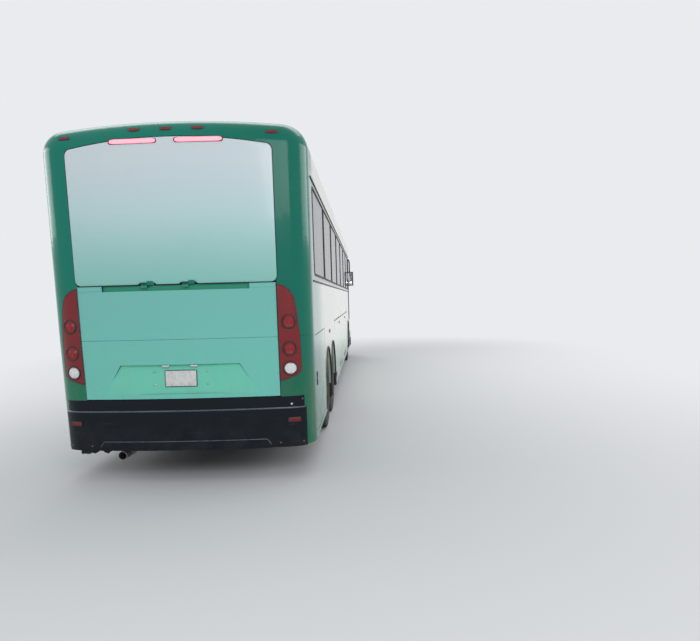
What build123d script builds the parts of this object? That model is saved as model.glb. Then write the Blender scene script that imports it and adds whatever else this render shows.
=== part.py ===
from build123d import *
import math
import os

# Three-axle intercity motorcoach, about 13.8 m long, seen from the rear in its reference photograph.
# Frame: x to the vehicle's left, y to its rear, z up. The origin is on the ground, under the middle
# of the overall length with the mirrors. All sizes are in millimetres.

# Overall sizes of the body
BODY_LENGTH = 13840.0
MIRROR_REACH = 280.0
BODY_WIDTH = 2590.0
SKIRT_Z = 330.0
BELT_Z = 1424.0
ROOF_Z = 3480.0
WALL = 50.0
FRONT_RAKE = 260.0
REAR_LEAN = 50.0
FRONT_BOW = 6500.0
REAR_BOW = 8500.0
FRONT_CORNER = 260.0
REAR_CORNER = 280.0
ROOF_CROWN = 13500.0
ROOF_EDGE = 230.0
ROOF_JOINT_Z = 3050.0
FRONT_CAP_DEPTH = 405.0
REAR_CAP_DEPTH = 450.0

# Bumpers stand this far proud of the body: the face, and the lip low down
BUMPER_FACE = 12.0
BUMPER_LIP = 25.0
BUMPER_DEPTH = 60.0
BUMPER_BOTTOM_Z = 325.0
REAR_BUMPER_TOP_Z = 835.0
REAR_BUMPER_LEDGE_Z = 725.0
REAR_LIP_Z = 412.0
REAR_LIP_HALF = 820.0
BUMPER_WRAP = 155.0
FRONT_BUMPER_TOP_Z = 760.0
FRONT_LIP_Z = 560.0

# Axles and wheels
FRONT_OVERHANG = 1960.0
WHEELBASE = 8080.0
TAG_SPACING = 1220.0
TYRE_RADIUS = 540.0
TYRE_WIDTH = 300.0
RIM_RADIUS = 286.0
RIM_SHEET = 14.0
RIM_LIP = 14.0
TYRE_TUCK = 25.0
TWIN_SPACING = 345.0
FRONT_ARCH_CLEAR = 65.0
REAR_ARCH_CLEAR = 35.0
KINGPIN_OFFSET = 90.0
KINGPIN_BOSS = 48.0
HUB_RADIUS = 140.0
ROTOR_RADIUS = 215.0
SPINDLE_RADIUS = 45.0
STUD_COUNT = 10
STUD_CIRCLE = 335.0
STUD_RADIUS = 16.0

# Clearances: a static fit, a running face, a wheel on its spindle, and the gap round a moving panel
FIT = 0.3
RUN = 0.3
HUB_RUN = 0.5
PANEL_GAP = 8.0

# Windows
WINDOW_SILL_Z = 2030.0
WINDOW_TOP_Z = 2930.0
WINDOW_COUNT = 7
WINDOW_PILLAR = 70.0
WINDOW_CORNER = 60.0
FIRST_PILLAR = 110.0
LAST_PILLAR = 255.0
GLASS = 10.0
GLASS_INSET = 3.0
DRIVER_SILL_Z = 1760.0
SHIELD_BOTTOM_Z = 1470.0
SHIELD_TOP_Z = 2800.0
SHIELD_HALF = 1150.0
SHIELD_POST = 50.0
SIGN_BOTTOM_Z = 2870.0
SIGN_TOP_Z = 3130.0
SIGN_HALF = 780.0

# Doors
DOOR_SETBACK = 485.0
DOOR_WIDTH = 750.0
DOOR_TOP_Z = 2420.0
DOOR_FRAME = 85.0
DOOR_PANE_Z = 1150.0
ENGINE_DOOR_HALF = 967.0
ENGINE_DOOR_TOP_Z = 1945.0
RECESS_TOP_Z = 1180.0
RECESS_BOTTOM_Z = 890.0
RECESS_TOP_HALF = 590.0
RECESS_BOTTOM_HALF = 765.0
RECESS_DEEP = 44.0
RECESS_SHALLOW = 14.0
SLOT_HALF = 716.0
SLOT_TALL = 52.0
SLOT_DEEP = 25.0
REAR_PANEL_BOTTOM_Z = 1975.0
REAR_PANEL_TOP_Z = 3215.0
REAR_PANEL_RISE = 85.0
REAR_PANEL_HALF = 985.0
GROOVE = 5.0
LOWER_DOOR_BOTTOM_Z = 345.0
SERVICE_BOTTOM_Z = 400.0
LOWER_DOOR_TOP_Z = 1400.0
LOWER_DOOR_CORNER = 25.0
LOUVER_COUNT = 9
LOUVER_TALL = 22.0
LOUVER_PITCH = 62.0
LOUVER_LOW_Z = 640.0
LOUVER_EDGE = 120.0
BAY_COUNT = 3
HINGE_RADIUS = 9.0
HINGE_LEAF = 12.0
HINGE_GAP = 20.0
KNUCKLE_LENGTH = 120.0

# Roof hatches
HATCH_HALF = 300.0
HATCH_LIP = 20.0
HATCH_LID = 360.0
HATCH_LID_THICK = 30.0
HATCH_REST = 5.0

# Lamps
LAMP_OUT = 8.0
LAMP_DEEP = 22.0
LAMP_TOP_Z = 1932.0
LAMP_BOTTOM_Z = 990.0
LAMP_WIDE = 1182.0
LAMP_X = 1078.0
LAMP_BEZEL = 74.0
LAMP_GLASS = 60.0
LAMP_GROOVE = 12.0
SIDE_LAMP_Z = 1300.0
HEADLAMP_IN = 700.0
HEADLAMP_OUT = 1130.0
HEADLAMP_BOTTOM_Z = 850.0
HEADLAMP_TOP_Z = 1080.0

# Floors and underframe
FLOOR_THICK = 50.0
PAN_BOTTOM_Z = 380.0
PAN_THICK = 30.0
BULKHEAD = 40.0
DRIVER_FLOOR_Z = 1000.0
STEP_DEPTH = 215.0
STEP_COUNT = 3
STEP_SHEET = 25.0
ENGINE_WALL_SETBACK = 185.0
SHELF_Z = 2005.0
RAIL_IN = 470.0
RAIL_OUT = 550.0
RAIL_DEPTH = 130.0
OUTRIGGER = 50.0
WHEELHOUSE_IN = 580.0
WHEELHOUSE_SHEET = 12.0
NOTCH_HALF = 135.0
NOTCH_TOP_Z = 700.0
BELLOWS_RADIUS = 68.0
ENGINE_LENGTH = 1220.0
ENGINE_TOP_Z = 1380.0
ENGINE_BOTTOM_Z = 480.0
RADIATOR_X = 1200.0
HOSE_RADIUS = 35.0

# Seats and driver's place
ROW_PITCH = 815.0
FIRST_ROW = 605.0
AISLE_HALF = 300.0
SEAT_WIDTH = 900.0
SEAT_HEIGHT = 450.0
SEAT_DEPTH = 470.0
SEAT_BACK = 1110.0
WHEEL_RIM = 225.0

# Places worked out from the sizes above
HALF = BODY_WIDTH / 2
Y_REAR = (BODY_LENGTH + MIRROR_REACH) / 2
Y_FRONT = Y_REAR - BODY_LENGTH
BODY_REAR = Y_REAR - BUMPER_LIP
BODY_FRONT = Y_FRONT + BUMPER_LIP
FRONT_JOINT_Y = BODY_FRONT + FRONT_CAP_DEPTH
REAR_JOINT_Y = BODY_REAR - REAR_CAP_DEPTH
FRONT_AXLE_Y = Y_FRONT + FRONT_OVERHANG
DRIVE_AXLE_Y = FRONT_AXLE_Y + WHEELBASE
TAG_AXLE_Y = DRIVE_AXLE_Y + TAG_SPACING
WHEEL_X = HALF - TYRE_TUCK - TYRE_WIDTH / 2
KINGPIN_X = WHEEL_X - KINGPIN_OFFSET
FRONT_ARCH = TYRE_RADIUS + FRONT_ARCH_CLEAR
REAR_ARCH = TYRE_RADIUS + REAR_ARCH_CLEAR
DOOR_FRONT_Y = BODY_FRONT + DOOR_SETBACK
DOOR_REAR_Y = DOOR_FRONT_Y + DOOR_WIDTH
WINDOWS_FRONT_Y = DOOR_REAR_Y + FIRST_PILLAR
WINDOWS_REAR_Y = REAR_JOINT_Y - LAST_PILLAR
BAYS_FRONT_Y = FRONT_AXLE_Y + FRONT_ARCH + BULKHEAD + HINGE_GAP
BAYS_REAR_Y = DRIVE_AXLE_Y - REAR_ARCH - BULKHEAD - HINGE_GAP
BAY_LENGTH = (BAYS_REAR_Y - BAYS_FRONT_Y) / BAY_COUNT
SERVICE_FRONT_Y = TAG_AXLE_Y + REAR_ARCH + BULKHEAD + HINGE_GAP
SERVICE_REAR_Y = REAR_JOINT_Y - BULKHEAD
MAIN_FLOOR_Y = FRONT_AXLE_Y - FRONT_ARCH - BULKHEAD - HINGE_GAP
ENGINE_WALL_Y = REAR_JOINT_Y - ENGINE_WALL_SETBACK
ENGINE_REAR_Y = ENGINE_WALL_Y + HINGE_GAP
ENGINE_FRONT_Y = ENGINE_REAR_Y - ENGINE_LENGTH
BUMPER_END_Y = Y_REAR - BUMPER_WRAP
ENGINE_DOOR_BOTTOM_Z = REAR_BUMPER_TOP_Z + PANEL_GAP
CABIN_FLOOR_Z = BELT_Z + FLOOR_THICK
RAIL_TOP_Z = DRIVER_FLOOR_Z - FLOOR_THICK
RAIL_BOTTOM_Z = RAIL_TOP_Z - RAIL_DEPTH
HINGE_Z = (LOWER_DOOR_TOP_Z + BELT_Z) / 2
HINGE_X = HALF - 5
HATCH_YS = (FRONT_AXLE_Y + 1920, TAG_AXLE_Y - 780)
LAMP_ZS = (1567.0, 1305.0, 1112.0)
FAR = 20000.0


def write(part, name):
    """Labels one finished piece and writes it to its own file."""
    part.label = name
    os.makedirs("parts", exist_ok=True)
    export_step(part, f"parts/{name}.step")


# Helpers for plain forms

def block(x, y, z):
    """A plain box between pairs of limits."""
    with BuildPart() as made:
        with Locations(((x[0] + x[1]) / 2, (y[0] + y[1]) / 2, (z[0] + z[1]) / 2)):
            Box(abs(x[1] - x[0]), y[1] - y[0], z[1] - z[0])
    return made.part


def side_prism(y, z, radius, x_from=0.0, x_to=FAR):
    """A prism along x with round corners, for openings, panes and panels in a side."""
    with BuildPart() as made:
        with BuildSketch(Plane.YZ.offset(x_from)):
            with Locations(((y[0] + y[1]) / 2, (z[0] + z[1]) / 2)):
                RectangleRounded(y[1] - y[0], z[1] - z[0], radius)
        extrude(amount=x_to - x_from)
    return made.part


def end_prism(x, z, radius, y_from, y_to):
    """A prism along y with round corners, for openings and panes in an end."""
    with BuildPart() as made:
        with BuildSketch(Plane.XZ.offset(-y_to)):
            with Locations(((x[0] + x[1]) / 2, (z[0] + z[1]) / 2)):
                RectangleRounded(x[1] - x[0], z[1] - z[0], radius)
        extrude(amount=y_to - y_from)
    return made.part


def rod(start, direction, radius, length):
    """A round bar that begins at start and runs along direction."""
    with BuildPart() as made:
        with BuildSketch(Plane(origin=start, z_dir=direction)):
            Circle(radius)
        extrude(amount=length)
    return made.part


def turned(points, x_dir=1):
    """A ring turned about the x axis from points of (x, radius)."""
    with BuildPart() as made:
        with BuildSketch(Plane.XY):
            with BuildLine():
                Polyline(*[(x * x_dir, r) for x, r in points], close=True)
            make_face()
        revolve(axis=Axis.X)
    return made.part


def placed(part, side):
    """The piece as drawn for the left side, or its mirror image for the right."""
    return part if side > 0 else mirror(part, about=Plane.YZ)


def cut_to(part, x=(-FAR, FAR), y=(-FAR, FAR), z=(-FAR, FAR)):
    """What is left of a piece between pairs of limits."""
    with BuildPart() as made:
        add(part)
        add(block(x, y, z), mode=Mode.INTERSECT)
    return made.part


def minus(part, *tools):
    """A piece with other pieces cut away."""
    with BuildPart() as made:
        add(part)
        for tool in tools:
            add(tool, mode=Mode.SUBTRACT)
    return made.part


SIDES = ((1, "left"), (-1, "right"))


# Body envelope

def end_points(apex, bow, radius, half):
    """Corner arc of one rounded end: its middle, where it meets the bow, and where it starts."""
    xc = half - radius
    yb = apex - bow
    yc = yb + math.sqrt((bow - radius) ** 2 - xc**2)
    k = bow / (bow - radius)
    xt, yt = xc * k, yb + (yc - yb) * k
    ux, uy = 1 + (xt - xc) / radius, (yt - yc) / radius
    n = math.hypot(ux, uy)
    return (xc + radius * ux / n, yc + radius * uy / n), (xt, yt), yc


def plan_outline(z, front, rear, inset):
    """Outline of the body seen from above, at height z, with bowed ends and round corners."""
    hw = HALF - inset
    apex_rear, apex_front = rear - inset, -front - inset
    mid_r, tip_r, side_r = end_points(apex_rear, REAR_BOW - inset, REAR_CORNER - inset, hw)
    mid_f, tip_f, side_f = end_points(apex_front, FRONT_BOW - inset, FRONT_CORNER - inset, hw)
    with BuildSketch(Plane.XY.offset(z)) as outline:
        with BuildLine():
            Line((hw, -side_f), (hw, side_r))
            ThreePointArc((hw, side_r), mid_r, tip_r)
            ThreePointArc(tip_r, (0, apex_rear), (-tip_r[0], tip_r[1]))
            ThreePointArc((-tip_r[0], tip_r[1]), (-mid_r[0], mid_r[1]), (-hw, side_r))
            Line((-hw, side_r), (-hw, -side_f))
            ThreePointArc((-hw, -side_f), (-mid_f[0], -mid_f[1]), (-tip_f[0], -tip_f[1]))
            ThreePointArc((-tip_f[0], -tip_f[1]), (0, -apex_front), (tip_f[0], -tip_f[1]))
            ThreePointArc((tip_f[0], -tip_f[1]), (mid_f[0], -mid_f[1]), (hw, -side_f))
        make_face()
    return outline.sketch


def lean(z):
    """How far the rear has leaned forward at height z."""
    return REAR_LEAN * (z - BELT_Z) / (ROOF_Z - BELT_Z)


def envelope(inset, bottom=SKIRT_Z - 60):
    """The body as one solid taken in by inset: upright to the belt, then raked ends and a round roof."""
    top = ROOF_Z - inset
    over = 60.0
    k = (ROOF_Z + over - BELT_Z) / (ROOF_Z - BELT_Z)
    radius = ROOF_CROWN - inset
    half = HALF + over
    eave = top - radius + math.sqrt(radius**2 - half**2)
    with BuildPart() as body:
        extrude(plan_outline(bottom, BODY_FRONT, BODY_REAR, inset), amount=BELT_Z - bottom)
        low = plan_outline(BELT_Z, BODY_FRONT, BODY_REAR, inset)
        high = plan_outline(ROOF_Z + over, BODY_FRONT + FRONT_RAKE * k, BODY_REAR - REAR_LEAN * k, inset)
        loft([low, high], ruled=True)
        with BuildSketch(Plane.XZ):
            with BuildLine():
                Polyline((-half, eave), (-half, bottom - over), (half, bottom - over), (half, eave))
                ThreePointArc((half, eave), (0, top), (-half, eave))
            make_face()
        extrude(amount=FAR / 2, both=True, mode=Mode.INTERSECT)
        fillet(body.faces().sort_by(Axis.Z)[-1].edges(), radius=ROOF_EDGE - inset)
    return body.part


ENVELOPES = {}


def body_at(inset):
    """The envelope for one inset, made once and kept."""
    if inset not in ENVELOPES:
        ENVELOPES[inset] = envelope(inset)
    return ENVELOPES[inset]


def in_skin(part, out, deep):
    """What is left of a piece between two insets of the body's surface."""
    with BuildPart() as made:
        add(part)
        add(body_at(out), mode=Mode.INTERSECT)
        add(body_at(deep), mode=Mode.SUBTRACT)
    return made.part


SHELL = cut_to(minus(body_at(0), envelope(WALL, SKIRT_Z - 90)), z=(SKIRT_Z, FAR))
FRONT_SHELL = cut_to(SHELL, y=(-FAR, FRONT_JOINT_Y))
REAR_SHELL = cut_to(SHELL, y=(REAR_JOINT_Y, FAR))
MIDDLE_SHELL = cut_to(SHELL, y=(FRONT_JOINT_Y, REAR_JOINT_Y))
LEFT_WALL = cut_to(MIDDLE_SHELL, x=(5, FAR), z=(BELT_Z, ROOF_JOINT_Z))
LEFT_SKIRT = cut_to(MIDDLE_SHELL, x=(5, FAR), z=(SKIRT_Z, BELT_Z))


# Hinges: each has a knuckle on the body and one on the moving panel, beside it on the same axis

def knuckle_y(y, to_body):
    """A knuckle along y over a lower door, with its leaf up to the wall or down to the door."""
    with BuildPart() as made:
        add(rod((HINGE_X, y, HINGE_Z), (0, 1, 0), HINGE_RADIUS, KNUCKLE_LENGTH))
        reach = (HINGE_Z, BELT_Z + 20) if to_body else (LOWER_DOOR_TOP_Z - 20, HINGE_Z)
        add(block((HALF - 0.5 - HINGE_LEAF, HALF - 0.5), (y, y + KNUCKLE_LENGTH), reach))
    return made.part


def knuckle_z(y, z, to_body):
    """A knuckle along z at a door's front edge, with its leaf forward to the body or back to the door."""
    with BuildPart() as made:
        add(rod((HINGE_X, y, z), (0, 0, 1), HINGE_RADIUS, KNUCKLE_LENGTH))
        reach = (y - HINGE_GAP / 2 - 20, y) if to_body else (y, y + HINGE_GAP / 2 + 20)
        add(block((HALF - 0.5 - HINGE_LEAF, HALF - 0.5), reach, (z, z + KNUCKLE_LENGTH)))
    return made.part


def bay_span(i):
    """Start and end of one baggage door along the body."""
    start = BAYS_FRONT_Y + i * BAY_LENGTH
    return start + PANEL_GAP / 2, start + BAY_LENGTH - PANEL_GAP / 2


def bay_knuckles(i):
    """Where the wall's knuckles begin over one baggage door; the door's own follow them."""
    start, end = bay_span(i)
    return [start + 250, (start + end) / 2, end - 250 - 2 * KNUCKLE_LENGTH]


NEXT = KNUCKLE_LENGTH + RUN
SERVICE_AXIS_Y = SERVICE_FRONT_Y + HINGE_GAP / 2
SERVICE_KNUCKLES = (SERVICE_BOTTOM_Z + 130, LOWER_DOOR_TOP_Z - 380)
DOOR_AXIS_Y = DOOR_FRONT_Y + HINGE_GAP / 2
DOOR_KNUCKLES = (LOWER_DOOR_BOTTOM_Z + 255, DOOR_TOP_Z - 460)


# Side walls with their window openings

def window_spans():
    """Start and end of each passenger window along the body."""
    pitch = (WINDOWS_REAR_Y - WINDOWS_FRONT_Y + WINDOW_PILLAR) / WINDOW_COUNT
    return [(WINDOWS_FRONT_Y + i * pitch, WINDOWS_FRONT_Y + (i + 1) * pitch - WINDOW_PILLAR)
            for i in range(WINDOW_COUNT)]


DRIVER_WINDOW = (DOOR_FRONT_Y + 20, DOOR_REAR_Y)
TRANSOM = (DOOR_TOP_Z + 70, WINDOW_TOP_Z)
for side, name in SIDES:
    cuts = [side_prism(y, (WINDOW_SILL_Z, WINDOW_TOP_Z), WINDOW_CORNER) for y in window_spans()]
    hinges = [knuckle_y(y, True) for i in range(BAY_COUNT) for y in bay_knuckles(i)]
    if name == "left":
        cuts.append(side_prism(DRIVER_WINDOW, (DRIVER_SILL_Z, WINDOW_TOP_Z), WINDOW_CORNER))
    else:
        cuts.append(side_prism((DOOR_FRONT_Y, DOOR_REAR_Y), (0, DOOR_TOP_Z), WINDOW_CORNER))
        cuts.append(side_prism((DOOR_FRONT_Y, DOOR_REAR_Y), TRANSOM, WINDOW_CORNER))
        hinges.append(knuckle_z(DOOR_AXIS_Y, DOOR_KNUCKLES[1], True))
    with BuildPart() as wall:
        add(LEFT_WALL)
        add(cuts, mode=Mode.SUBTRACT)
        add(hinges)
    write(placed(wall.part, side), f"side_wall_{name}")

PANE_X = (HALF - GLASS_INSET - GLASS, HALF - GLASS_INSET)


def pane(y, z):
    """A pane that fits an opening in the left side with a small clearance all round."""
    return side_prism((y[0] + FIT, y[1] - FIT), (z[0] + FIT, z[1] - FIT), WINDOW_CORNER - FIT, *PANE_X)


window_panes = [pane(y, (WINDOW_SILL_Z, WINDOW_TOP_Z)) for y in window_spans()]
with BuildPart() as side_windows:
    add(window_panes)
    add([placed(part, -1) for part in window_panes])
    add(pane(DRIVER_WINDOW, (DRIVER_SILL_Z, WINDOW_TOP_Z)))
    add(placed(pane((DOOR_FRONT_Y, DOOR_REAR_Y), TRANSOM), -1))
write(side_windows.part, "side_windows")


# Skirts under the belt, with wheel arches

def arch(y, radius):
    """The opening of one wheel arch, through both sides."""
    with BuildPart() as made:
        with BuildSketch(Plane.YZ.offset(-FAR / 2)):
            with Locations((y, TYRE_RADIUS)):
                Circle(radius)
            with Locations((y, TYRE_RADIUS / 2 - 100)):
                Rectangle(2 * radius, TYRE_RADIUS + 200)
        extrude(amount=FAR)
    return made.part


AXLES = ((FRONT_AXLE_Y, FRONT_ARCH), (DRIVE_AXLE_Y, REAR_ARCH), (TAG_AXLE_Y, REAR_ARCH))
BAY_GAP = PANEL_GAP / 2
for side, name in SIDES:
    cuts = [arch(y, radius) for y, radius in AXLES]
    cuts.append(block((0, FAR), (BAYS_FRONT_Y - BAY_GAP, BAYS_REAR_Y + BAY_GAP), (0, BELT_Z)))
    cuts.append(block((0, FAR), (SERVICE_FRONT_Y, SERVICE_REAR_Y),
                      (SERVICE_BOTTOM_Z - PANEL_GAP, LOWER_DOOR_TOP_Z + PANEL_GAP)))
    hinges = [knuckle_z(SERVICE_AXIS_Y, z, True) for z in SERVICE_KNUCKLES]
    if name == "right":
        cuts.append(block((0, FAR), (DOOR_FRONT_Y, DOOR_REAR_Y), (0, BELT_Z)))
        hinges.append(knuckle_z(DOOR_AXIS_Y, DOOR_KNUCKLES[0], True))
    with BuildPart() as skirt:
        add(LEFT_SKIRT)
        add(cuts, mode=Mode.SUBTRACT)
        add(hinges)
    write(placed(skirt.part, side), f"skirt_{name}")


# Baggage doors, hinged along their top edge, two of them with a side lamp

SIDE_LAMP_YS = (Y_REAR - 3060, Y_REAR - 6200, Y_REAR - 9300)


def side_lamp(y, x_from):
    """A small lamp that stands a little proud of the side."""
    return side_prism((y - 50, y + 50), (SIDE_LAMP_Z, SIDE_LAMP_Z + 30), 12, x_from, HALF + LAMP_OUT)


for side, name in SIDES:
    for i in range(BAY_COUNT):
        with BuildPart() as baggage:
            add(side_prism(bay_span(i), (LOWER_DOOR_BOTTOM_Z, LOWER_DOOR_TOP_Z), LOWER_DOOR_CORNER,
                           HALF - WALL, HALF))
            add([knuckle_y(y + NEXT, False) for y in bay_knuckles(i)])
            add([side_lamp(y, HALF - GLASS) for y in SIDE_LAMP_YS if bay_span(i)[0] < y < bay_span(i)[1]])
        write(placed(baggage.part, side), f"baggage_door_{name}_{i + 1}")


# Service doors behind the tag axle, hinged along their front edge, the left one with air slots

for side, name in SIDES:
    with BuildPart() as service:
        span = (SERVICE_FRONT_Y + HINGE_GAP, SERVICE_REAR_Y - PANEL_GAP)
        add(side_prism(span, (SERVICE_BOTTOM_Z, LOWER_DOOR_TOP_Z), LOWER_DOOR_CORNER, HALF - WALL, HALF))
        for z in SERVICE_KNUCKLES:
            add(knuckle_z(SERVICE_AXIS_Y, z + NEXT, False))
        if name == "left":
            add([side_prism((span[0] + LOUVER_EDGE, span[1] - LOUVER_EDGE), (z, z + LOUVER_TALL), LOUVER_TALL / 2 - 1)
                 for z in [LOUVER_LOW_Z + i * LOUVER_PITCH for i in range(LOUVER_COUNT)]], mode=Mode.SUBTRACT)
    write(placed(service.part, side), f"service_door_{name}")


# Entrance door on the right, hinged along its front edge, with its pane

door_span = (DOOR_FRONT_Y + HINGE_GAP, DOOR_REAR_Y - PANEL_GAP)
door_pane = (door_span[0] + DOOR_FRAME, door_span[1] - DOOR_FRAME)
door_pane_z = (DOOR_PANE_Z, DOOR_TOP_Z - PANEL_GAP - DOOR_FRAME)
with BuildPart() as entrance_door:
    add(side_prism(door_span, (LOWER_DOOR_BOTTOM_Z, DOOR_TOP_Z - PANEL_GAP), WINDOW_CORNER - PANEL_GAP,
                   HALF - WALL, HALF))
    add(side_prism(door_pane, door_pane_z, WINDOW_CORNER), mode=Mode.SUBTRACT)
    for z in DOOR_KNUCKLES:
        add(knuckle_z(DOOR_AXIS_Y, z + NEXT, False))
write(placed(entrance_door.part, -1), "entrance_door")

with BuildPart() as entrance_glass:
    add(side_prism((door_pane[0] + FIT, door_pane[1] - FIT), (door_pane_z[0] + FIT, door_pane_z[1] - FIT),
                   WINDOW_CORNER - FIT, *PANE_X))
write(placed(entrance_glass.part, -1), "entrance_glass")


# Roof with its two hatches, in panels: seams across it at the hatches' edges and one along each side

HATCH_EDGE = HATCH_LID + 12
HATCH_Z = ROOF_Z + HATCH_LIP + HATCH_REST
HATCH_AXIS_Z = HATCH_Z + 7
HATCH_KNUCKLES = (-200.0, 100.0)
HATCH_KNUCKLE = 50.0
ROOF_SEAM_X = 900.0
ROOF_FRONT_PANEL = 450.0
ROOF_SEAM_YS = [y + end for y in HATCH_YS for end in (-HATCH_HALF, HATCH_HALF)]
ROOF_SEAM_YS.append(FRONT_JOINT_Y + ROOF_FRONT_PANEL)
with BuildPart() as roof:
    add(cut_to(MIDDLE_SHELL, z=(ROOF_JOINT_Z, FAR)))
    for y in HATCH_YS:
        out = HATCH_HALF + HATCH_LIP
        add(block((-out, out), (y - out, y + out), (ROOF_Z - WALL + 10, ROOF_Z + HATCH_LIP)))
        add(block((-HATCH_HALF, HATCH_HALF), (y - HATCH_HALF, y + HATCH_HALF),
                  (ROOF_Z - 2 * WALL, ROOF_Z + WALL)), mode=Mode.SUBTRACT)
        for x in HATCH_KNUCKLES:
            add(rod((x, y - HATCH_EDGE, HATCH_AXIS_Z), (1, 0, 0), HINGE_RADIUS, HATCH_KNUCKLE))
            add(block((x, x + HATCH_KNUCKLE), (y - HATCH_EDGE - 8, y - HATCH_EDGE + 8),
                      (ROOF_Z - 20, HATCH_AXIS_Z)))
    for y in ROOF_SEAM_YS:
        add(block((-FAR, FAR), (y - FIT / 2, y + FIT / 2), (0, FAR)), mode=Mode.SUBTRACT)
    for x in (-ROOF_SEAM_X, ROOF_SEAM_X):
        add(block((x - FIT / 2, x + FIT / 2), (-FAR, FAR), (0, FAR)), mode=Mode.SUBTRACT)
write(roof.part, "roof")

for y, name in zip(HATCH_YS, ("front", "rear")):
    with BuildPart() as hatch:
        with BuildSketch(Plane.XY.offset(HATCH_Z)):
            with Locations((0, y)):
                RectangleRounded(2 * HATCH_LID, 2 * HATCH_LID, WINDOW_CORNER)
        extrude(amount=HATCH_LID_THICK)
        fillet(hatch.faces().sort_by(Axis.Z)[-1].edges(), radius=HATCH_LID_THICK / 2)
        for x in HATCH_KNUCKLES:
            start = x + HATCH_KNUCKLE + RUN
            add(rod((start, y - HATCH_EDGE, HATCH_AXIS_Z), (1, 0, 0), HINGE_RADIUS, HATCH_KNUCKLE))
            add(block((start, start + HATCH_KNUCKLE), (y - HATCH_EDGE, y - HATCH_LID + 60),
                      (HATCH_Z, HATCH_Z + 14)))
    write(hatch.part, f"hatch_{name}")


# Rear cap with the engine door's opening and the tail lamps' pockets

def lamp_outline(grow=0.0):
    """A tail lamp's outline seen from behind: straight inner edge, swept top and outer edge."""
    inner = ENGINE_DOOR_HALF + PANEL_GAP + 2 - grow
    with BuildSketch(Plane.XZ.offset(-FAR / 2)) as outline:
        with BuildLine():
            Polyline((inner, LAMP_BOTTOM_Z - grow), (inner, LAMP_TOP_Z + grow))
            ThreePointArc((inner, LAMP_TOP_Z + grow), (1095 + grow, 1868 + grow), (1145 + grow, 1740))
            ThreePointArc((1145 + grow, 1740), (LAMP_WIDE - 6 + grow, 1440), (LAMP_WIDE + grow, 1120))
            ThreePointArc((LAMP_WIDE + grow, 1120), (1172 + grow, 1074 - grow), (1130 + grow, 1040 - grow))
            Line((1130 + grow, 1040 - grow), (inner, LAMP_BOTTOM_Z - grow))
        make_face()
    return outline.sketch


with BuildPart() as lens_prism:
    extrude(lamp_outline(), amount=FAR / 2)
with BuildPart() as pocket_prism:
    extrude(lamp_outline(FIT), amount=FAR / 2)
with BuildPart() as lens_rings:
    with BuildSketch(Plane.XZ.offset(-Y_REAR)):
        with Locations(*[(LAMP_X, z) for z in LAMP_ZS]):
            Circle(LAMP_BEZEL)
            Circle(LAMP_GLASS, mode=Mode.SUBTRACT)
    extrude(amount=REAR_CAP_DEPTH)
with BuildPart() as tail_lamps:
    add(cut_to(in_skin(lens_prism.part, -LAMP_OUT, LAMP_DEEP), y=(REAR_JOINT_Y, FAR)))
    add(in_skin(lens_rings.part, -LAMP_OUT, LAMP_GROOVE - LAMP_OUT), mode=Mode.SUBTRACT)
    mirror(about=Plane.YZ)
write(tail_lamps.part, "tail_lamps")

with BuildPart() as lamp_pockets:
    add(cut_to(in_skin(pocket_prism.part, -LAMP_OUT, LAMP_DEEP + FIT), y=(REAR_JOINT_Y, FAR)))
    mirror(about=Plane.YZ)
DOOR_SIDE_Y = REAR_JOINT_Y + 100


def rear_panel(grow):
    """Outline of the upper rear panel: straight sides, round lower corners and a gently arched top."""
    half = REAR_PANEL_HALF + grow
    low = REAR_PANEL_BOTTOM_Z - grow
    high = REAR_PANEL_TOP_Z + grow
    with BuildSketch(Plane.XZ.offset(-Y_REAR)) as outline:
        with BuildLine():
            Polyline((half, high), (half, low), (-half, low), (-half, high))
            ThreePointArc((-half, high), (0, high + REAR_PANEL_RISE), (half, high))
        make_face()
        fillet(outline.vertices(), radius=WINDOW_CORNER + grow)
    return outline.sketch


with BuildPart() as panel_groove:
    extrude(rear_panel(GROOVE), amount=REAR_CAP_DEPTH)
    extrude(rear_panel(0), amount=REAR_CAP_DEPTH, mode=Mode.SUBTRACT)
belt = block((-HALF - WALL, HALF + WALL), (REAR_JOINT_Y, Y_REAR), (BELT_Z - GROOVE / 2, BELT_Z + GROOVE / 2))
belt_groove = in_skin(belt, -LAMP_OUT, GROOVE)
with BuildPart() as rear_cap:
    add(cut_to(REAR_SHELL, z=(REAR_BUMPER_TOP_Z, FAR)))
    add(cut_to(REAR_SHELL, y=(REAR_JOINT_Y, BUMPER_END_Y), z=(SKIRT_Z, REAR_BUMPER_TOP_Z)))
    add(block((-ENGINE_DOOR_HALF - PANEL_GAP, ENGINE_DOOR_HALF + PANEL_GAP), (DOOR_SIDE_Y, FAR),
              (0, ENGINE_DOOR_TOP_Z + HINGE_GAP)), mode=Mode.SUBTRACT)
    add(lamp_pockets.part, mode=Mode.SUBTRACT)
    add(in_skin(panel_groove.part, -LAMP_OUT, GROOVE), mode=Mode.SUBTRACT)
    add(belt_groove, mode=Mode.SUBTRACT)
    for x in (-200.0, 200.0):
        z = ENGINE_DOOR_TOP_Z + HINGE_GAP / 2
        y = BODY_REAR - lean(z)
        add(rod((x, y, z), (1, 0, 0), HINGE_RADIUS, 60))
        add(block((x, x + 60), (y - 14, y + HINGE_RADIUS - 3), (z, z + 30)))
write(rear_cap.part, "rear_cap")

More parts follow.
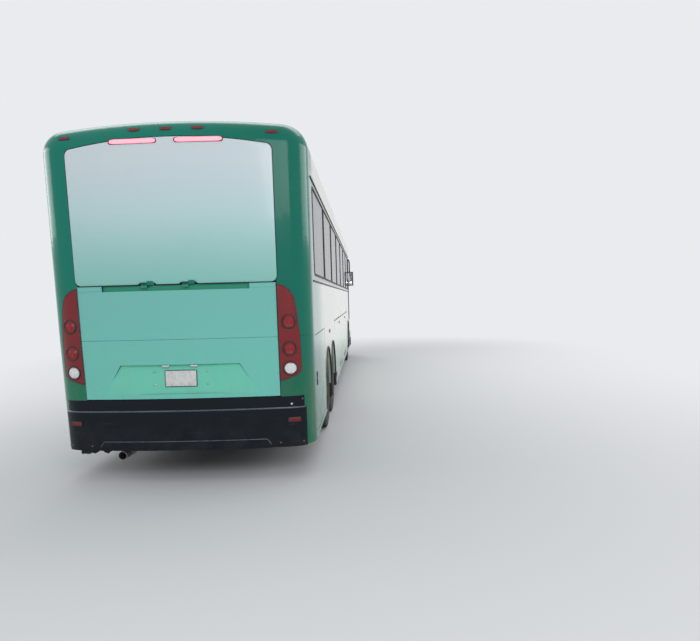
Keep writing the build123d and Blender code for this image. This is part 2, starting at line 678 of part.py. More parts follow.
# Plate recess: deep at its top edge, running out to the door's face at its bottom edge
with BuildPart() as plate_recess:
    with BuildSketch(Plane.YZ.offset(-ENGINE_DOOR_HALF)):
        with BuildLine():
            Polyline((BODY_REAR - RECESS_DEEP, RECESS_TOP_Z), (Y_REAR, RECESS_TOP_Z), (Y_REAR, RECESS_BOTTOM_Z),
                     (BODY_REAR - RECESS_SHALLOW, RECESS_BOTTOM_Z), close=True)
        make_face()
    extrude(amount=2 * ENGINE_DOOR_HALF)
    with BuildSketch(Plane.XZ.offset(-Y_REAR)):
        with BuildLine():
            Polyline((-RECESS_TOP_HALF, RECESS_TOP_Z), (RECESS_TOP_HALF, RECESS_TOP_Z),
                     (RECESS_BOTTOM_HALF, RECESS_BOTTOM_Z), (-RECESS_BOTTOM_HALF, RECESS_BOTTOM_Z), close=True)
        make_face()
    extrude(amount=REAR_CAP_DEPTH, mode=Mode.INTERSECT)
slot = block((-SLOT_HALF, SLOT_HALF), (DOOR_SIDE_Y, Y_REAR), (ENGINE_DOOR_TOP_Z - SLOT_TALL, ENGINE_DOOR_TOP_Z + 5))
with BuildPart() as engine_door:
    add(cut_to(REAR_SHELL, x=(-ENGINE_DOOR_HALF, ENGINE_DOOR_HALF), y=(DOOR_SIDE_Y, FAR),
               z=(ENGINE_DOOR_BOTTOM_Z, ENGINE_DOOR_TOP_Z)))
    add(plate_recess.part, mode=Mode.SUBTRACT)
    add(in_skin(slot, -LAMP_OUT, SLOT_DEEP), mode=Mode.SUBTRACT)
    add(belt_groove, mode=Mode.SUBTRACT)
    for x in (-200.0, 200.0):
        z = ENGINE_DOOR_TOP_Z + HINGE_GAP / 2
        y = BODY_REAR - lean(z)
        add(rod((x + 60 + RUN, y, z), (1, 0, 0), HINGE_RADIUS, 60))
        add(block((x + 60 + RUN, x + 120 + RUN), (y - 14, y + HINGE_RADIUS - 3), (z - 30, z)))
        add(block((x + 60 + RUN, x + 120 + RUN), (y - WALL + 10, y - 10), (z - 30, ENGINE_DOOR_TOP_Z)))
write(engine_door.part, "engine_door")


# Front cap with the windscreen, the sign's pane and the headlamps

SHIELD_X = (SHIELD_POST / 2, SHIELD_HALF)
with BuildPart() as front_openings:
    add(end_prism(SHIELD_X, (SHIELD_BOTTOM_Z, SHIELD_TOP_Z), 70, -FAR / 2, FRONT_JOINT_Y))
    mirror(about=Plane.YZ)
    add(end_prism((-SIGN_HALF, SIGN_HALF), (SIGN_BOTTOM_Z, SIGN_TOP_Z), 50, -FAR / 2, FRONT_JOINT_Y))
with BuildPart() as front_panes:
    add(end_prism((SHIELD_X[0] + FIT, SHIELD_X[1] - FIT), (SHIELD_BOTTOM_Z + FIT, SHIELD_TOP_Z - FIT),
                  70 - FIT, -FAR / 2, FRONT_JOINT_Y))
    mirror(about=Plane.YZ)
    add(end_prism((-SIGN_HALF + FIT, SIGN_HALF - FIT), (SIGN_BOTTOM_Z + FIT, SIGN_TOP_Z - FIT),
                  50 - FIT, -FAR / 2, FRONT_JOINT_Y))
headlamp = (HEADLAMP_IN, HEADLAMP_OUT), (HEADLAMP_BOTTOM_Z, HEADLAMP_TOP_Z)
headlamp_socket = end_prism(*headlamp, 60, -FAR / 2, FRONT_JOINT_Y)
headlamp_socket = in_skin(headlamp_socket, -LAMP_OUT, LAMP_DEEP + FIT)
with BuildPart() as front_cap:
    add(cut_to(FRONT_SHELL, z=(FRONT_BUMPER_TOP_Z, FAR)))
    add(front_openings.part, mode=Mode.SUBTRACT)
    add(headlamp_socket, mode=Mode.SUBTRACT)
    mirror(headlamp_socket, about=Plane.YZ, mode=Mode.SUBTRACT)
write(front_cap.part, "front_cap")

write(in_skin(front_panes.part, GLASS_INSET, GLASS_INSET + GLASS), "windshield")

with BuildPart() as headlamps:
    add(in_skin(end_prism((HEADLAMP_IN + FIT, HEADLAMP_OUT - FIT), (HEADLAMP_BOTTOM_Z + FIT, HEADLAMP_TOP_Z - FIT),
                          60 - FIT, -FAR / 2, FRONT_JOINT_Y), -LAMP_OUT, LAMP_DEEP))
    mirror(about=Plane.YZ)
write(headlamps.part, "headlamps")


# Small lamps, each a shallow lens on the skin: half width, height, and places as (x, z)

REAR_SMALL = ((48.0, 26.0, ((0, 3377), (300, 3377), (-300, 3377), (984, 3330), (-984, 3330))),
              (230.0, 45.0, ((310, 3265), (-310, 3265))))
FRONT_SMALL = ((48.0, 26.0, ((0, 3340), (300, 3340), (-300, 3340), (940, 3300), (-940, 3300))),)
small = []
for table, start, length in ((REAR_SMALL, BODY_REAR + 50, 300), (FRONT_SMALL, BODY_FRONT + 350, 400)):
    with BuildPart() as lamp_blanks:
        for half, tall, places in table:
            with BuildSketch(Plane.XZ.offset(-start)):
                with Locations(*places):
                    RectangleRounded(2 * half, tall, tall / 2 - 2)
            extrude(amount=length)
    small.append(in_skin(lamp_blanks.part, -LAMP_OUT, -FIT))
for side, name in SIDES:
    small.append(placed(side_lamp(SIDE_LAMP_YS[0], HALF + FIT), side))
with BuildPart() as marker_lamps:
    add(small)
write(marker_lamps.part, "marker_lamps")


# Bumpers

def ring(out, z):
    """An upright band round the whole body, out proud of it."""
    with BuildPart() as made:
        extrude(plan_outline(z[0], BODY_FRONT, BODY_REAR, -out), amount=z[1] - z[0])
        extrude(plan_outline(z[0], BODY_FRONT, BODY_REAR, BUMPER_DEPTH), amount=z[1] - z[0],
                mode=Mode.SUBTRACT)
    return made.part


with BuildPart() as rear_lip:
    add(ring(BUMPER_LIP, (BUMPER_BOTTOM_Z, REAR_LIP_Z)))
    with BuildSketch(Plane.XZ.offset(-FAR / 2)):
        with BuildLine():
            wide = REAR_LIP_HALF + 60
            Polyline((-REAR_LIP_HALF, REAR_LIP_Z), (REAR_LIP_HALF, REAR_LIP_Z), (wide, BUMPER_BOTTOM_Z),
                     (-wide, BUMPER_BOTTOM_Z), close=True)
        make_face()
    extrude(amount=FAR / 2, mode=Mode.INTERSECT)
with BuildPart() as rear_bumper:
    add(cut_to(ring(0, (BUMPER_BOTTOM_Z, REAR_BUMPER_TOP_Z)), y=(BUMPER_END_Y, FAR)))
    add(cut_to(ring(BUMPER_FACE, (BUMPER_BOTTOM_Z, REAR_BUMPER_LEDGE_Z)), y=(BUMPER_END_Y, FAR)))
    add(rear_lip.part)
write(rear_bumper.part, "rear_bumper")

with BuildPart() as front_bumper:
    add(cut_to(ring(BUMPER_FACE, (BUMPER_BOTTOM_Z, FRONT_BUMPER_TOP_Z)), y=(-FAR, FRONT_JOINT_Y)))
    add(cut_to(ring(BUMPER_LIP, (BUMPER_BOTTOM_Z, FRONT_LIP_Z)), y=(-FAR, FRONT_JOINT_Y)))
write(front_bumper.part, "front_bumper")


# Cabin floor: driver's platform, steps, main floor, and the wall and shelf in front of the engine

INSIDE = HALF - WALL - FIT
tread_z = [LOWER_DOOR_BOTTOM_Z + 35 + i * (DRIVER_FLOOR_Z - LOWER_DOOR_BOTTOM_Z - 35) / STEP_COUNT
           for i in range(STEP_COUNT)]
step_x = [-INSIDE + 7 + i * STEP_DEPTH for i in range(STEP_COUNT + 1)]
tops = []
for i in range(STEP_COUNT):
    tops += [(step_x[i], tread_z[i]), (step_x[i + 1], tread_z[i])]
tops.append((step_x[-1], DRIVER_FLOOR_Z))
unders = [(x + STEP_SHEET, z - STEP_SHEET) for x, z in tops[1:-1]]
unders = [(tops[0][0], tops[0][1] - STEP_SHEET)] + unders + [(tops[-1][0] + STEP_SHEET, DRIVER_FLOOR_Z)]
WELL_Y = (DOOR_FRONT_Y + 10, DOOR_REAR_Y - 10)


def slab(z, thick, y, rear=BODY_REAR):
    """A level board that fits inside the walls between two places along the body."""
    with BuildPart() as made:
        extrude(plan_outline(z, BODY_FRONT, rear, WALL + FIT), amount=thick)
    return cut_to(made.part, y=y)


with BuildPart() as cabin_floor:
    add(slab(BELT_Z, FLOOR_THICK, (MAIN_FLOOR_Y, ENGINE_WALL_Y + BULKHEAD)))
    add(block((-INSIDE, INSIDE), (MAIN_FLOOR_Y, MAIN_FLOOR_Y + BULKHEAD), (DRIVER_FLOOR_Z, BELT_Z)))
write(cabin_floor.part, "cabin_floor")

with BuildPart() as driver_platform:
    add(slab(RAIL_TOP_Z, FLOOR_THICK, (-FAR, MAIN_FLOOR_Y + BULKHEAD)))
    add(block((-FAR, step_x[-1] + STEP_SHEET + FIT), (WELL_Y[0] - FIT, WELL_Y[1] + FIT), (0, BELT_Z)),
        mode=Mode.SUBTRACT)
write(driver_platform.part, "driver_platform")

# Overhead racks along both walls: section points (x, z)
RACK = ((INSIDE, 3025.0), (720.0, 3012.0), (660.0, 3065.0), (700.0, 3225.0), (1050.0, 3255.0), (INSIDE, 3120.0))
with BuildPart() as parcel_racks:
    with BuildSketch(Plane.XZ.offset(-ENGINE_WALL_Y)):
        with BuildLine():
            Polyline(*RACK, close=True)
        make_face()
    extrude(amount=ENGINE_WALL_Y - MAIN_FLOOR_Y - BULKHEAD)
    mirror(about=Plane.YZ)
write(parcel_racks.part, "parcel_racks")

with BuildPart() as rear_wall:
    add(block((-INSIDE, INSIDE), (ENGINE_WALL_Y, ENGINE_WALL_Y + BULKHEAD), (CABIN_FLOOR_Z, SHELF_Z)))
    add(slab(SHELF_Z - BULKHEAD, BULKHEAD, (ENGINE_WALL_Y, FAR), BODY_REAR - lean(SHELF_Z) - 0.5))
write(rear_wall.part, "rear_wall")

with BuildPart() as entrance_steps:
    with BuildSketch(Plane.XZ.offset(-WELL_Y[1])):
        with BuildLine():
            Polyline(*tops, *unders[::-1], close=True)
        make_face()
    extrude(amount=WELL_Y[1] - WELL_Y[0])
    for y in (WELL_Y[0], WELL_Y[1] - STEP_SHEET):
        add(block((step_x[0], step_x[-1] + STEP_SHEET), (y, y + STEP_SHEET),
                  (tread_z[0] - STEP_SHEET, DRIVER_FLOOR_Z)))
write(entrance_steps.part, "entrance_steps")


# Underframe: baggage bays between, and a frame with rails, crossmembers and wheelhouses at each end

def wheelhouse(y, radius, side):
    """Half a drum over one wheel, closed on its inner side."""
    inner, outer = WHEELHOUSE_IN, INSIDE
    with BuildPart() as made:
        with BuildSketch(Plane.YZ.offset(inner)):
            with Locations((y, TYRE_RADIUS)):
                Circle(radius + WHEELHOUSE_SHEET)
            with Locations((y, TYRE_RADIUS / 2)):
                Rectangle(2 * (radius + WHEELHOUSE_SHEET), TYRE_RADIUS)
        extrude(amount=outer - inner)
        with BuildSketch(Plane.YZ.offset(inner + WHEELHOUSE_SHEET)):
            with Locations((y, TYRE_RADIUS)):
                Circle(radius)
            with Locations((y, TYRE_RADIUS / 2)):
                Rectangle(2 * radius, TYRE_RADIUS)
        extrude(amount=outer, mode=Mode.SUBTRACT)
        add(block((-FAR, FAR), (y - radius - 20, y + radius + 20), (-TYRE_RADIUS, SKIRT_Z + 40)),
            mode=Mode.SUBTRACT)
        add(block((0, FAR), (y - NOTCH_HALF, y + NOTCH_HALF), (0, NOTCH_TOP_Z)), mode=Mode.SUBTRACT)
    return placed(made.part, side)


def crossmember(start, end):
    """A beam across both rails, with plates down its outer ends beside the wheelhouses."""
    with BuildPart() as made:
        add(block((-INSIDE, INSIDE), (start, end), (RAIL_BOTTOM_Z, RAIL_TOP_Z)))
        for side, name in SIDES:
            add(block(sorted((side * WHEELHOUSE_IN, side * INSIDE)), (start, end), (PAN_BOTTOM_Z, RAIL_TOP_Z)))
    return made.part


BAY_SIDE = HALF - WALL - PANEL_GAP
SEAM = WHEELHOUSE_SHEET - 2
BEAM_SPAN = (RAIL_BOTTOM_Z, RAIL_TOP_Z)
with BuildPart() as bay_frame:
    add([block((-BAY_SIDE, BAY_SIDE), (y - BULKHEAD / 2, y + BULKHEAD / 2), (PAN_BOTTOM_Z, BELT_Z))
         for y in [BAYS_FRONT_Y + i * BAY_LENGTH for i in range(1, BAY_COUNT)]])
    add([block((-INSIDE, INSIDE), span, (PAN_BOTTOM_Z, BELT_Z))
         for span in ((FRONT_AXLE_Y + FRONT_ARCH + SEAM + 2, BAYS_FRONT_Y - BAY_GAP),
                      (BAYS_REAR_Y + BAY_GAP, DRIVE_AXLE_Y - REAR_ARCH - SEAM - 2))])
    add(block((-BAY_SIDE, BAY_SIDE), (BAYS_FRONT_Y - BAY_GAP, BAYS_REAR_Y + BAY_GAP),
              (PAN_BOTTOM_Z, PAN_BOTTOM_Z + PAN_THICK)))
write(bay_frame.part, "bay_frame")


def rails(start, end):
    """Both frame rails between two places along the body."""
    return [block(sorted((side * RAIL_IN, side * RAIL_OUT)), (start, end), BEAM_SPAN) for side, name in SIDES]


def post(y, radius):
    """The cross wall that stands on both wheelhouses of an axle and carries the floor."""
    return block((-INSIDE, INSIDE), (y - OUTRIGGER, y + OUTRIGGER), (TYRE_RADIUS + radius + SEAM, BELT_Z))


with BuildPart() as front_frame:
    add(rails(BODY_FRONT + 120, FRONT_AXLE_Y + FRONT_ARCH + SEAM + 2))
    add(crossmember(FRONT_AXLE_Y - FRONT_ARCH - SEAM - OUTRIGGER, FRONT_AXLE_Y - FRONT_ARCH - SEAM))
    add([wheelhouse(FRONT_AXLE_Y, FRONT_ARCH, side) for side, name in SIDES])
    add(post(FRONT_AXLE_Y, FRONT_ARCH))
write(front_frame.part, "front_frame")

with BuildPart() as rear_frame:
    add(rails(DRIVE_AXLE_Y - REAR_ARCH - SEAM - 2, REAR_JOINT_Y - 25))
    add(crossmember(DRIVE_AXLE_Y + REAR_ARCH + SEAM, TAG_AXLE_Y - REAR_ARCH - SEAM))
    add(crossmember(TAG_AXLE_Y + REAR_ARCH + SEAM, TAG_AXLE_Y + REAR_ARCH + SEAM + OUTRIGGER))
    add(block((-INSIDE, INSIDE), (REAR_JOINT_Y - 25 - OUTRIGGER, REAR_JOINT_Y - 25), BEAM_SPAN))
    for y in (DRIVE_AXLE_Y, TAG_AXLE_Y):
        add([wheelhouse(y, REAR_ARCH, side) for side, name in SIDES])
        add(post(y, REAR_ARCH))
write(rear_frame.part, "rear_frame")


# Engine with its gearbox, the shaft to the drive axle and the radiator at the left, and the exhaust

with BuildPart() as engine:
    add(block((-RAIL_IN + FIT, RAIL_IN - FIT), (ENGINE_FRONT_Y, ENGINE_REAR_Y), (ENGINE_BOTTOM_Z, ENGINE_TOP_Z)))
    add(block((-230, 230), (ENGINE_FRONT_Y - 320, ENGINE_FRONT_Y), (ENGINE_BOTTOM_Z + 40, RAIL_BOTTOM_Z - 20)))
    shaft_from = Vector(0, ENGINE_FRONT_Y - 310, 700)
    shaft_to = Vector(0, DRIVE_AXLE_Y + 330, TYRE_RADIUS + 45)
    add(rod(shaft_from, shaft_to - shaft_from, 45, (shaft_to - shaft_from).length))
    add(block((RADIATOR_X - 100, RADIATOR_X), (ENGINE_FRONT_Y + 100, ENGINE_REAR_Y - 20), (560, ENGINE_TOP_Z - 20)))
    for y, z in ((ENGINE_FRONT_Y + 350, 1200), (ENGINE_REAR_Y - 200, 700)):
        add(rod((RAIL_IN - 20, y, z), (1, 0, 0), HOSE_RADIUS, RADIATOR_X - RAIL_IN - 60))
write(engine.part, "engine")

EXHAUST_X = 640.0
EXHAUST_Z = 274.0
EXHAUST_RADIUS = 45.0
with BuildPart() as exhaust:
    with BuildLine():
        FilletPolyline((EXHAUST_X, Y_REAR - 30, EXHAUST_Z), (EXHAUST_X, REAR_JOINT_Y + 100, EXHAUST_Z),
                       (EXHAUST_X, REAR_JOINT_Y - 250, 600), (RAIL_IN, REAR_JOINT_Y - 250, 600), radius=120)
    with BuildSketch(Plane(origin=(EXHAUST_X, Y_REAR - 30, EXHAUST_Z), z_dir=(0, -1, 0))):
        Circle(EXHAUST_RADIUS)
        Circle(EXHAUST_RADIUS - 4, mode=Mode.SUBTRACT)
    sweep()
write(exhaust.part, "exhaust")


# Axles with their air bellows under the rails

def bellows(y, low, high):
    """Four air bellows, two on each side, that stand under the rails."""
    with BuildPart() as made:
        middle = (RAIL_IN + RAIL_OUT) / 2
        with BuildSketch(Plane.XY.offset(low)):
            with Locations(*[(sx * middle, y + sy * 290) for sx in (-1, 1) for sy in (-1, 1)]):
                Circle(BELLOWS_RADIUS)
        extrude(amount=high - low)
    return made.part


BEAM_Z = 400.0
BEAM_DEEP = 95.0
BEAM_RISE = 105.0
SPRING_Z = 500.0
with BuildPart() as front_axle:
    with BuildSketch(Plane.XZ.offset(-FRONT_AXLE_Y - 50)):
        with BuildLine():
            knee, top = RAIL_OUT + 190, RAIL_OUT + 330
            Polyline((-KINGPIN_X, BEAM_Z + BEAM_RISE), (-top, BEAM_Z + BEAM_RISE), (-knee, BEAM_Z), (knee, BEAM_Z),
                     (top, BEAM_Z + BEAM_RISE), (KINGPIN_X, BEAM_Z + BEAM_RISE),
                     (KINGPIN_X, BEAM_Z + BEAM_RISE + BEAM_DEEP), (top - 20, BEAM_Z + BEAM_RISE + BEAM_DEEP),
                     (knee - 20, BEAM_Z + BEAM_DEEP), (20 - knee, BEAM_Z + BEAM_DEEP),
                     (20 - top, BEAM_Z + BEAM_RISE + BEAM_DEEP), (-KINGPIN_X, BEAM_Z + BEAM_RISE + BEAM_DEEP),
                     close=True)
        make_face()
    extrude(amount=100)
    for x in (-KINGPIN_X, KINGPIN_X):
        add(rod((x, FRONT_AXLE_Y, TYRE_RADIUS - 95), (0, 0, 1), KINGPIN_BOSS, 190))
    middle = (RAIL_IN + RAIL_OUT) / 2
    for x in (-middle, middle):
        add(block((x - 45, x + 45), (FRONT_AXLE_Y - 370, FRONT_AXLE_Y + 370), (SPRING_Z - 80, SPRING_Z)))
    add(bellows(FRONT_AXLE_Y, SPRING_Z, RAIL_BOTTOM_Z - FIT))
write(front_axle.part, "front_axle")

TWIN_MID = WHEEL_X - TWIN_SPACING / 2
SPINDLE_END = {"drive": TWIN_MID + 190, "tag": WHEEL_X + 105}
for y, name, tube in ((DRIVE_AXLE_Y, "drive", 80.0), (TAG_AXLE_Y, "tag", 62.0)):
    tube_end = TWIN_MID - 75 if name == "drive" else WHEEL_X - 15
    with BuildPart() as axle:
        add(rod((-tube_end, y, TYRE_RADIUS), (1, 0, 0), tube, 2 * tube_end))
        add(rod((-SPINDLE_END[name], y, TYRE_RADIUS), (1, 0, 0), SPINDLE_RADIUS, 2 * SPINDLE_END[name]))
        for x in (-middle, middle):
            add(block((x - 45, x + 45), (y - 370, y + 370), (SPRING_Z - 90, SPRING_Z)))
        add(bellows(y, SPRING_Z, RAIL_BOTTOM_Z - FIT))
        if name == "drive":
            with Locations((0, y, TYRE_RADIUS)):
                Sphere(215)
            add(rod((0, y + 150, TYRE_RADIUS + 20), (0, 1, 0), 100, 150))
    write(axle.part, f"{name}_axle")


# Steering knuckles, each a fork round its kingpin with a spindle for the wheel

for side, name in SIDES:
    with BuildPart() as knuckle:
        for z in (TYRE_RADIUS - 95 - RUN - 40, TYRE_RADIUS + 95 + RUN):
            add(rod((KINGPIN_X, FRONT_AXLE_Y, z), (0, 0, 1), KINGPIN_BOSS, 40))
            add(block((KINGPIN_X, KINGPIN_X + 75), (FRONT_AXLE_Y - 40, FRONT_AXLE_Y + 40), (z, z + 40)))
        add(block((KINGPIN_X + 55, KINGPIN_X + 75), (FRONT_AXLE_Y - 60, FRONT_AXLE_Y + 60),
                  (TYRE_RADIUS - 135, TYRE_RADIUS + 135)))
        add(rod((KINGPIN_X + 60, FRONT_AXLE_Y, TYRE_RADIUS), (1, 0, 0), SPINDLE_RADIUS,
                WHEEL_X + 105 - KINGPIN_X - 60))
    write(placed(knuckle.part, side), f"knuckle_{name}")


# Tyres and wheels, turned about the axle: points are (x from the middle of the tyre, radius)

TREAD_HALF = TYRE_WIDTH / 2 - 42
TYRE_SHAPE = ((-TYRE_WIDTH / 2 + 32, RIM_RADIUS), (-TYRE_WIDTH / 2, 400), (-TYRE_WIDTH / 2 + 10, 495),
              (-TREAD_HALF, TYRE_RADIUS), (TREAD_HALF, TYRE_RADIUS), (TYRE_WIDTH / 2 - 10, 495),
              (TYRE_WIDTH / 2, 400), (TYRE_WIDTH / 2 - 32, RIM_RADIUS))
SEAT_HALF = TYRE_WIDTH / 2 - 32
RIM_EDGE = SEAT_HALF + RIM_LIP


def barrel(x_in, x_out):
    """A rim barrel that fills the tyre's bore between two edges."""
    out, low = RIM_RADIUS - FIT, RIM_RADIUS - FIT - RIM_SHEET
    return turned(((x_in, low), (x_in, out), (x_out, out), (x_out, low)))


def disc_wheel(x_in, x_out, disc, hub_in, hub_out, rotor, bulge):
    """A wheel: rim barrel, dished disc with hand holes, hub bored for the spindle, rotor and nuts."""
    low = RIM_RADIUS - FIT - RIM_SHEET + 2
    bore = SPINDLE_RADIUS + HUB_RUN
    with BuildPart() as made:
        add(barrel(x_in, x_out))
        add(turned(((disc, HUB_RADIUS - 10), (disc, 195), (disc - bulge, low), (disc - bulge - 22, low),
                    (disc - 22, 195), (disc - 22, HUB_RADIUS - 10))))
        with BuildSketch(Plane.YZ.offset(disc - bulge - 60)):
            with PolarLocations(230, 10):
                Circle(28)
        extrude(amount=bulge + 120 if bulge > 0 else 120, mode=Mode.SUBTRACT)
        add(turned(((hub_in, bore), (hub_in, HUB_RADIUS - 20), (hub_in + 20, HUB_RADIUS), (disc + 8, HUB_RADIUS),
                    (disc + 8, 110), (hub_out - 12, 100), (hub_out, 80), (hub_out, 0),
                    (hub_out - 20, 0), (hub_out - 20, bore))))
        add(turned(((rotor, HUB_RADIUS - 30), (rotor, ROTOR_RADIUS), (rotor + 40, ROTOR_RADIUS),
                    (rotor + 40, HUB_RADIUS - 30))))
        with BuildSketch(Plane.YZ.offset(disc - 2)):
            with PolarLocations(STUD_CIRCLE / 2, STUD_COUNT):
                RegularPolygon(STUD_RADIUS, 6)
        extrude(amount=32)
    return made.part


SINGLE = disc_wheel(-RIM_EDGE, RIM_EDGE, 84, 5, 125, 10, 20)
TWIN = disc_wheel(-TWIN_SPACING / 2 - RIM_EDGE, TWIN_SPACING / 2 + RIM_EDGE, 10, -70, 210, -60, -20)
TYRE = turned(TYRE_SHAPE)
WHEELS = (("front", FRONT_AXLE_Y, WHEEL_X, SINGLE, (0,)), ("tag", TAG_AXLE_Y, WHEEL_X, SINGLE, (0,)),
          ("drive", DRIVE_AXLE_Y, TWIN_MID, TWIN, (-TWIN_SPACING / 2, TWIN_SPACING / 2)))
for place, y, x, wheel, tyre_xs in WHEELS:
    for side, name in SIDES:
        with BuildPart() as tyres:
            for tyre_x in tyre_xs:
                add(TYRE.moved(Location((x + tyre_x, y, TYRE_RADIUS))))
        write(placed(tyres.part, side), f"tyre_{place}_{name}")
        with BuildPart() as rim:
            add(wheel.moved(Location((x, y, TYRE_RADIUS))))
        write(placed(rim.part, side), f"wheel_{place}_{name}")


# Seats: rows of double seats on both sides of the aisle, and the driver's

def seat(x, y, z, wide):
    """One seat unit with its foot: x is its middle, y its middle along the body, z the floor."""
    with BuildPart() as made:
        with BuildSketch(Plane.YZ.offset(x - wide / 2)):
            with BuildLine():
                half = SEAT_DEPTH / 2
                Polyline((y - half, z + SEAT_HEIGHT - 130), (y - half, z + SEAT_HEIGHT - 20),
                         (y - half + 40, z + SEAT_HEIGHT), (y + half - 90, z + SEAT_HEIGHT - 20),
                         (y + half + 50, z + SEAT_BACK - 40), (y + half + 90, z + SEAT_BACK),
                         (y + half + 150, z + SEAT_BACK - 30), (y + half + 40, z + SEAT_HEIGHT - 130),
                         close=True)
            make_face()
        extrude(amount=wide)
        add(block((x - wide / 4, x + wide / 4), (y - 110, y + 110), (z, z + SEAT_HEIGHT - 120)))
    return made.part


row_count = int((ENGINE_WALL_Y - MAIN_FLOOR_Y - FIRST_ROW - SEAT_DEPTH / 2 - 150) / ROW_PITCH) + 1
seat_x = AISLE_HALF + SEAT_WIDTH / 2
DRIVER_X = 640.0
DRIVER_Y = MAIN_FLOOR_Y - 310
double_seat = seat(0, 0, 0, SEAT_WIDTH)
places = [(side * seat_x, MAIN_FLOOR_Y + FIRST_ROW + i * ROW_PITCH, CABIN_FLOOR_Z)
          for i in range(row_count) for side, name in SIDES]
with BuildPart() as seats:
    add([double_seat.moved(Location(place)) for place in places])
write(seats.part, "seats")
with BuildPart() as driver_seat:
    add(seat(DRIVER_X, DRIVER_Y, DRIVER_FLOOR_Z, SEAT_WIDTH / 2 + 50))
write(driver_seat.part, "driver_seat")

DASH_Y = BODY_FRONT + 155
DASH = ((0, 0), (0, 400), (180, 430), (350, 330), (400, 0))
with BuildPart() as dashboard:
    with BuildSketch(Plane.YZ.offset(-400)):
        with BuildLine():
            Polyline(*[(DASH_Y + y, DRIVER_FLOOR_Z + z) for y, z in DASH], close=True)
        make_face()
    extrude(amount=1400)
write(dashboard.part, "dashboard")

slope = Vector(0, 100, 170).normalized()
foot = Vector(DRIVER_X, DASH_Y + 265, DRIVER_FLOOR_Z + 380) + slope * FIT
with BuildPart() as steering_wheel:
    add(rod(foot, slope, 28, 260))
    with BuildSketch(Plane(origin=foot + slope * 260, x_dir=(1, 0, 0), z_dir=slope)):
        Circle(60)
        Rectangle(2 * WHEEL_RIM, 36)
    extrude(amount=18)
    with BuildSketch(Plane(origin=foot + slope * 270, x_dir=(1, 0, 0), z_dir=(0, -170, 100))):
        with Locations((WHEEL_RIM, 0)):
            Circle(15)
    revolve(axis=Axis(foot + slope * 270, slope))
write(steering_wheel.part, "steering_wheel")


# Mirrors on arms that reach forward from the top corners of the front cap

MIRROR_WIDE = 230.0
MIRROR_TALL = 430.0
MIRROR_DEEP = 90.0
MIRROR_X = HALF + 20
MIRROR_TOP_Z = 2590.0
ARM_Z = 2960.0
ARM_RADIUS = 20.0
mirror_y = -Y_REAR + MIRROR_DEEP / 2
with BuildPart() as mirror_left:
    with BuildLine():
        FilletPolyline((MIRROR_X - 180, BODY_FRONT + 330, ARM_Z), (MIRROR_X, mirror_y, ARM_Z),
                       (MIRROR_X, mirror_y, MIRROR_TOP_Z - 60), radius=110)
    with BuildSketch(Plane(origin=(MIRROR_X - 180, BODY_FRONT + 330, ARM_Z),
                           z_dir=(180, mirror_y - BODY_FRONT - 330, 0))):
        Circle(ARM_RADIUS)
    sweep()
    add(envelope(-FIT), mode=Mode.SUBTRACT)
    with BuildSketch(Plane.XY.offset(MIRROR_TOP_Z - MIRROR_TALL)):
        with Locations((MIRROR_X, mirror_y)):
            RectangleRounded(MIRROR_WIDE, MIRROR_DEEP, MIRROR_DEEP / 2 - 5)
    extrude(amount=MIRROR_TALL)
with BuildPart() as mirrors:
    add(mirror_left.part)
    mirror(about=Plane.YZ)
write(mirrors.part, "mirrors")
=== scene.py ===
import math
import bmesh
import bpy
import numpy as np
from mathutils import Matrix, Vector


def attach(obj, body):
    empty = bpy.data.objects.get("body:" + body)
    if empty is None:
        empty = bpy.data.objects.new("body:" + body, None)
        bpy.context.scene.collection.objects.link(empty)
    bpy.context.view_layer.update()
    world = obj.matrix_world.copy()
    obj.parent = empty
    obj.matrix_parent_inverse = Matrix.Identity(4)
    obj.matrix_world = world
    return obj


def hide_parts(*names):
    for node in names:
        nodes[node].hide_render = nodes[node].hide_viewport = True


# Three-axle coach. +Y is its rear, +X its left, +Z up, and all lengths are metres

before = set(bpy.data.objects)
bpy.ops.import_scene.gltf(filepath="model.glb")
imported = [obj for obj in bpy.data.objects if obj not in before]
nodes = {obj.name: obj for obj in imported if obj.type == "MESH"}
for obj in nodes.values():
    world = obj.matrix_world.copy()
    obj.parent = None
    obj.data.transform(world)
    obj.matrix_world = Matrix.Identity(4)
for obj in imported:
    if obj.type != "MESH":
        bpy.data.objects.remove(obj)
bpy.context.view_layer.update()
scene = bpy.context.scene
print("frame loaded:", len(nodes), "nodes")

# Main sizes of the body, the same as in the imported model
body = dict(half=1.295, rear=7.035, front=-6.755, belt=1.424, roof=3.48, crown=13.5, edge=0.23,
            lean=0.050, rake=0.260, rearBow=8.5, rearCorner=0.28, frontBow=6.5, frontCorner=0.26)
axles = dict(front=-4.82, drive=3.26, tag=4.48)
wheelX = dict(front=1.12, drive=0.9475, tag=1.12)
tyre = dict(radius=0.54, width=0.30, rim=0.286)
sides = (("left", 1), ("right", -1))


# Camera, at the place that the picture was taken from
view = dict(place=(-1.837, 12.966, 1.779), yaw=1.75, pitch=-9.43, roll=-1.50, focal=615.3, middleY=400.0,
            wide=700, high=641)


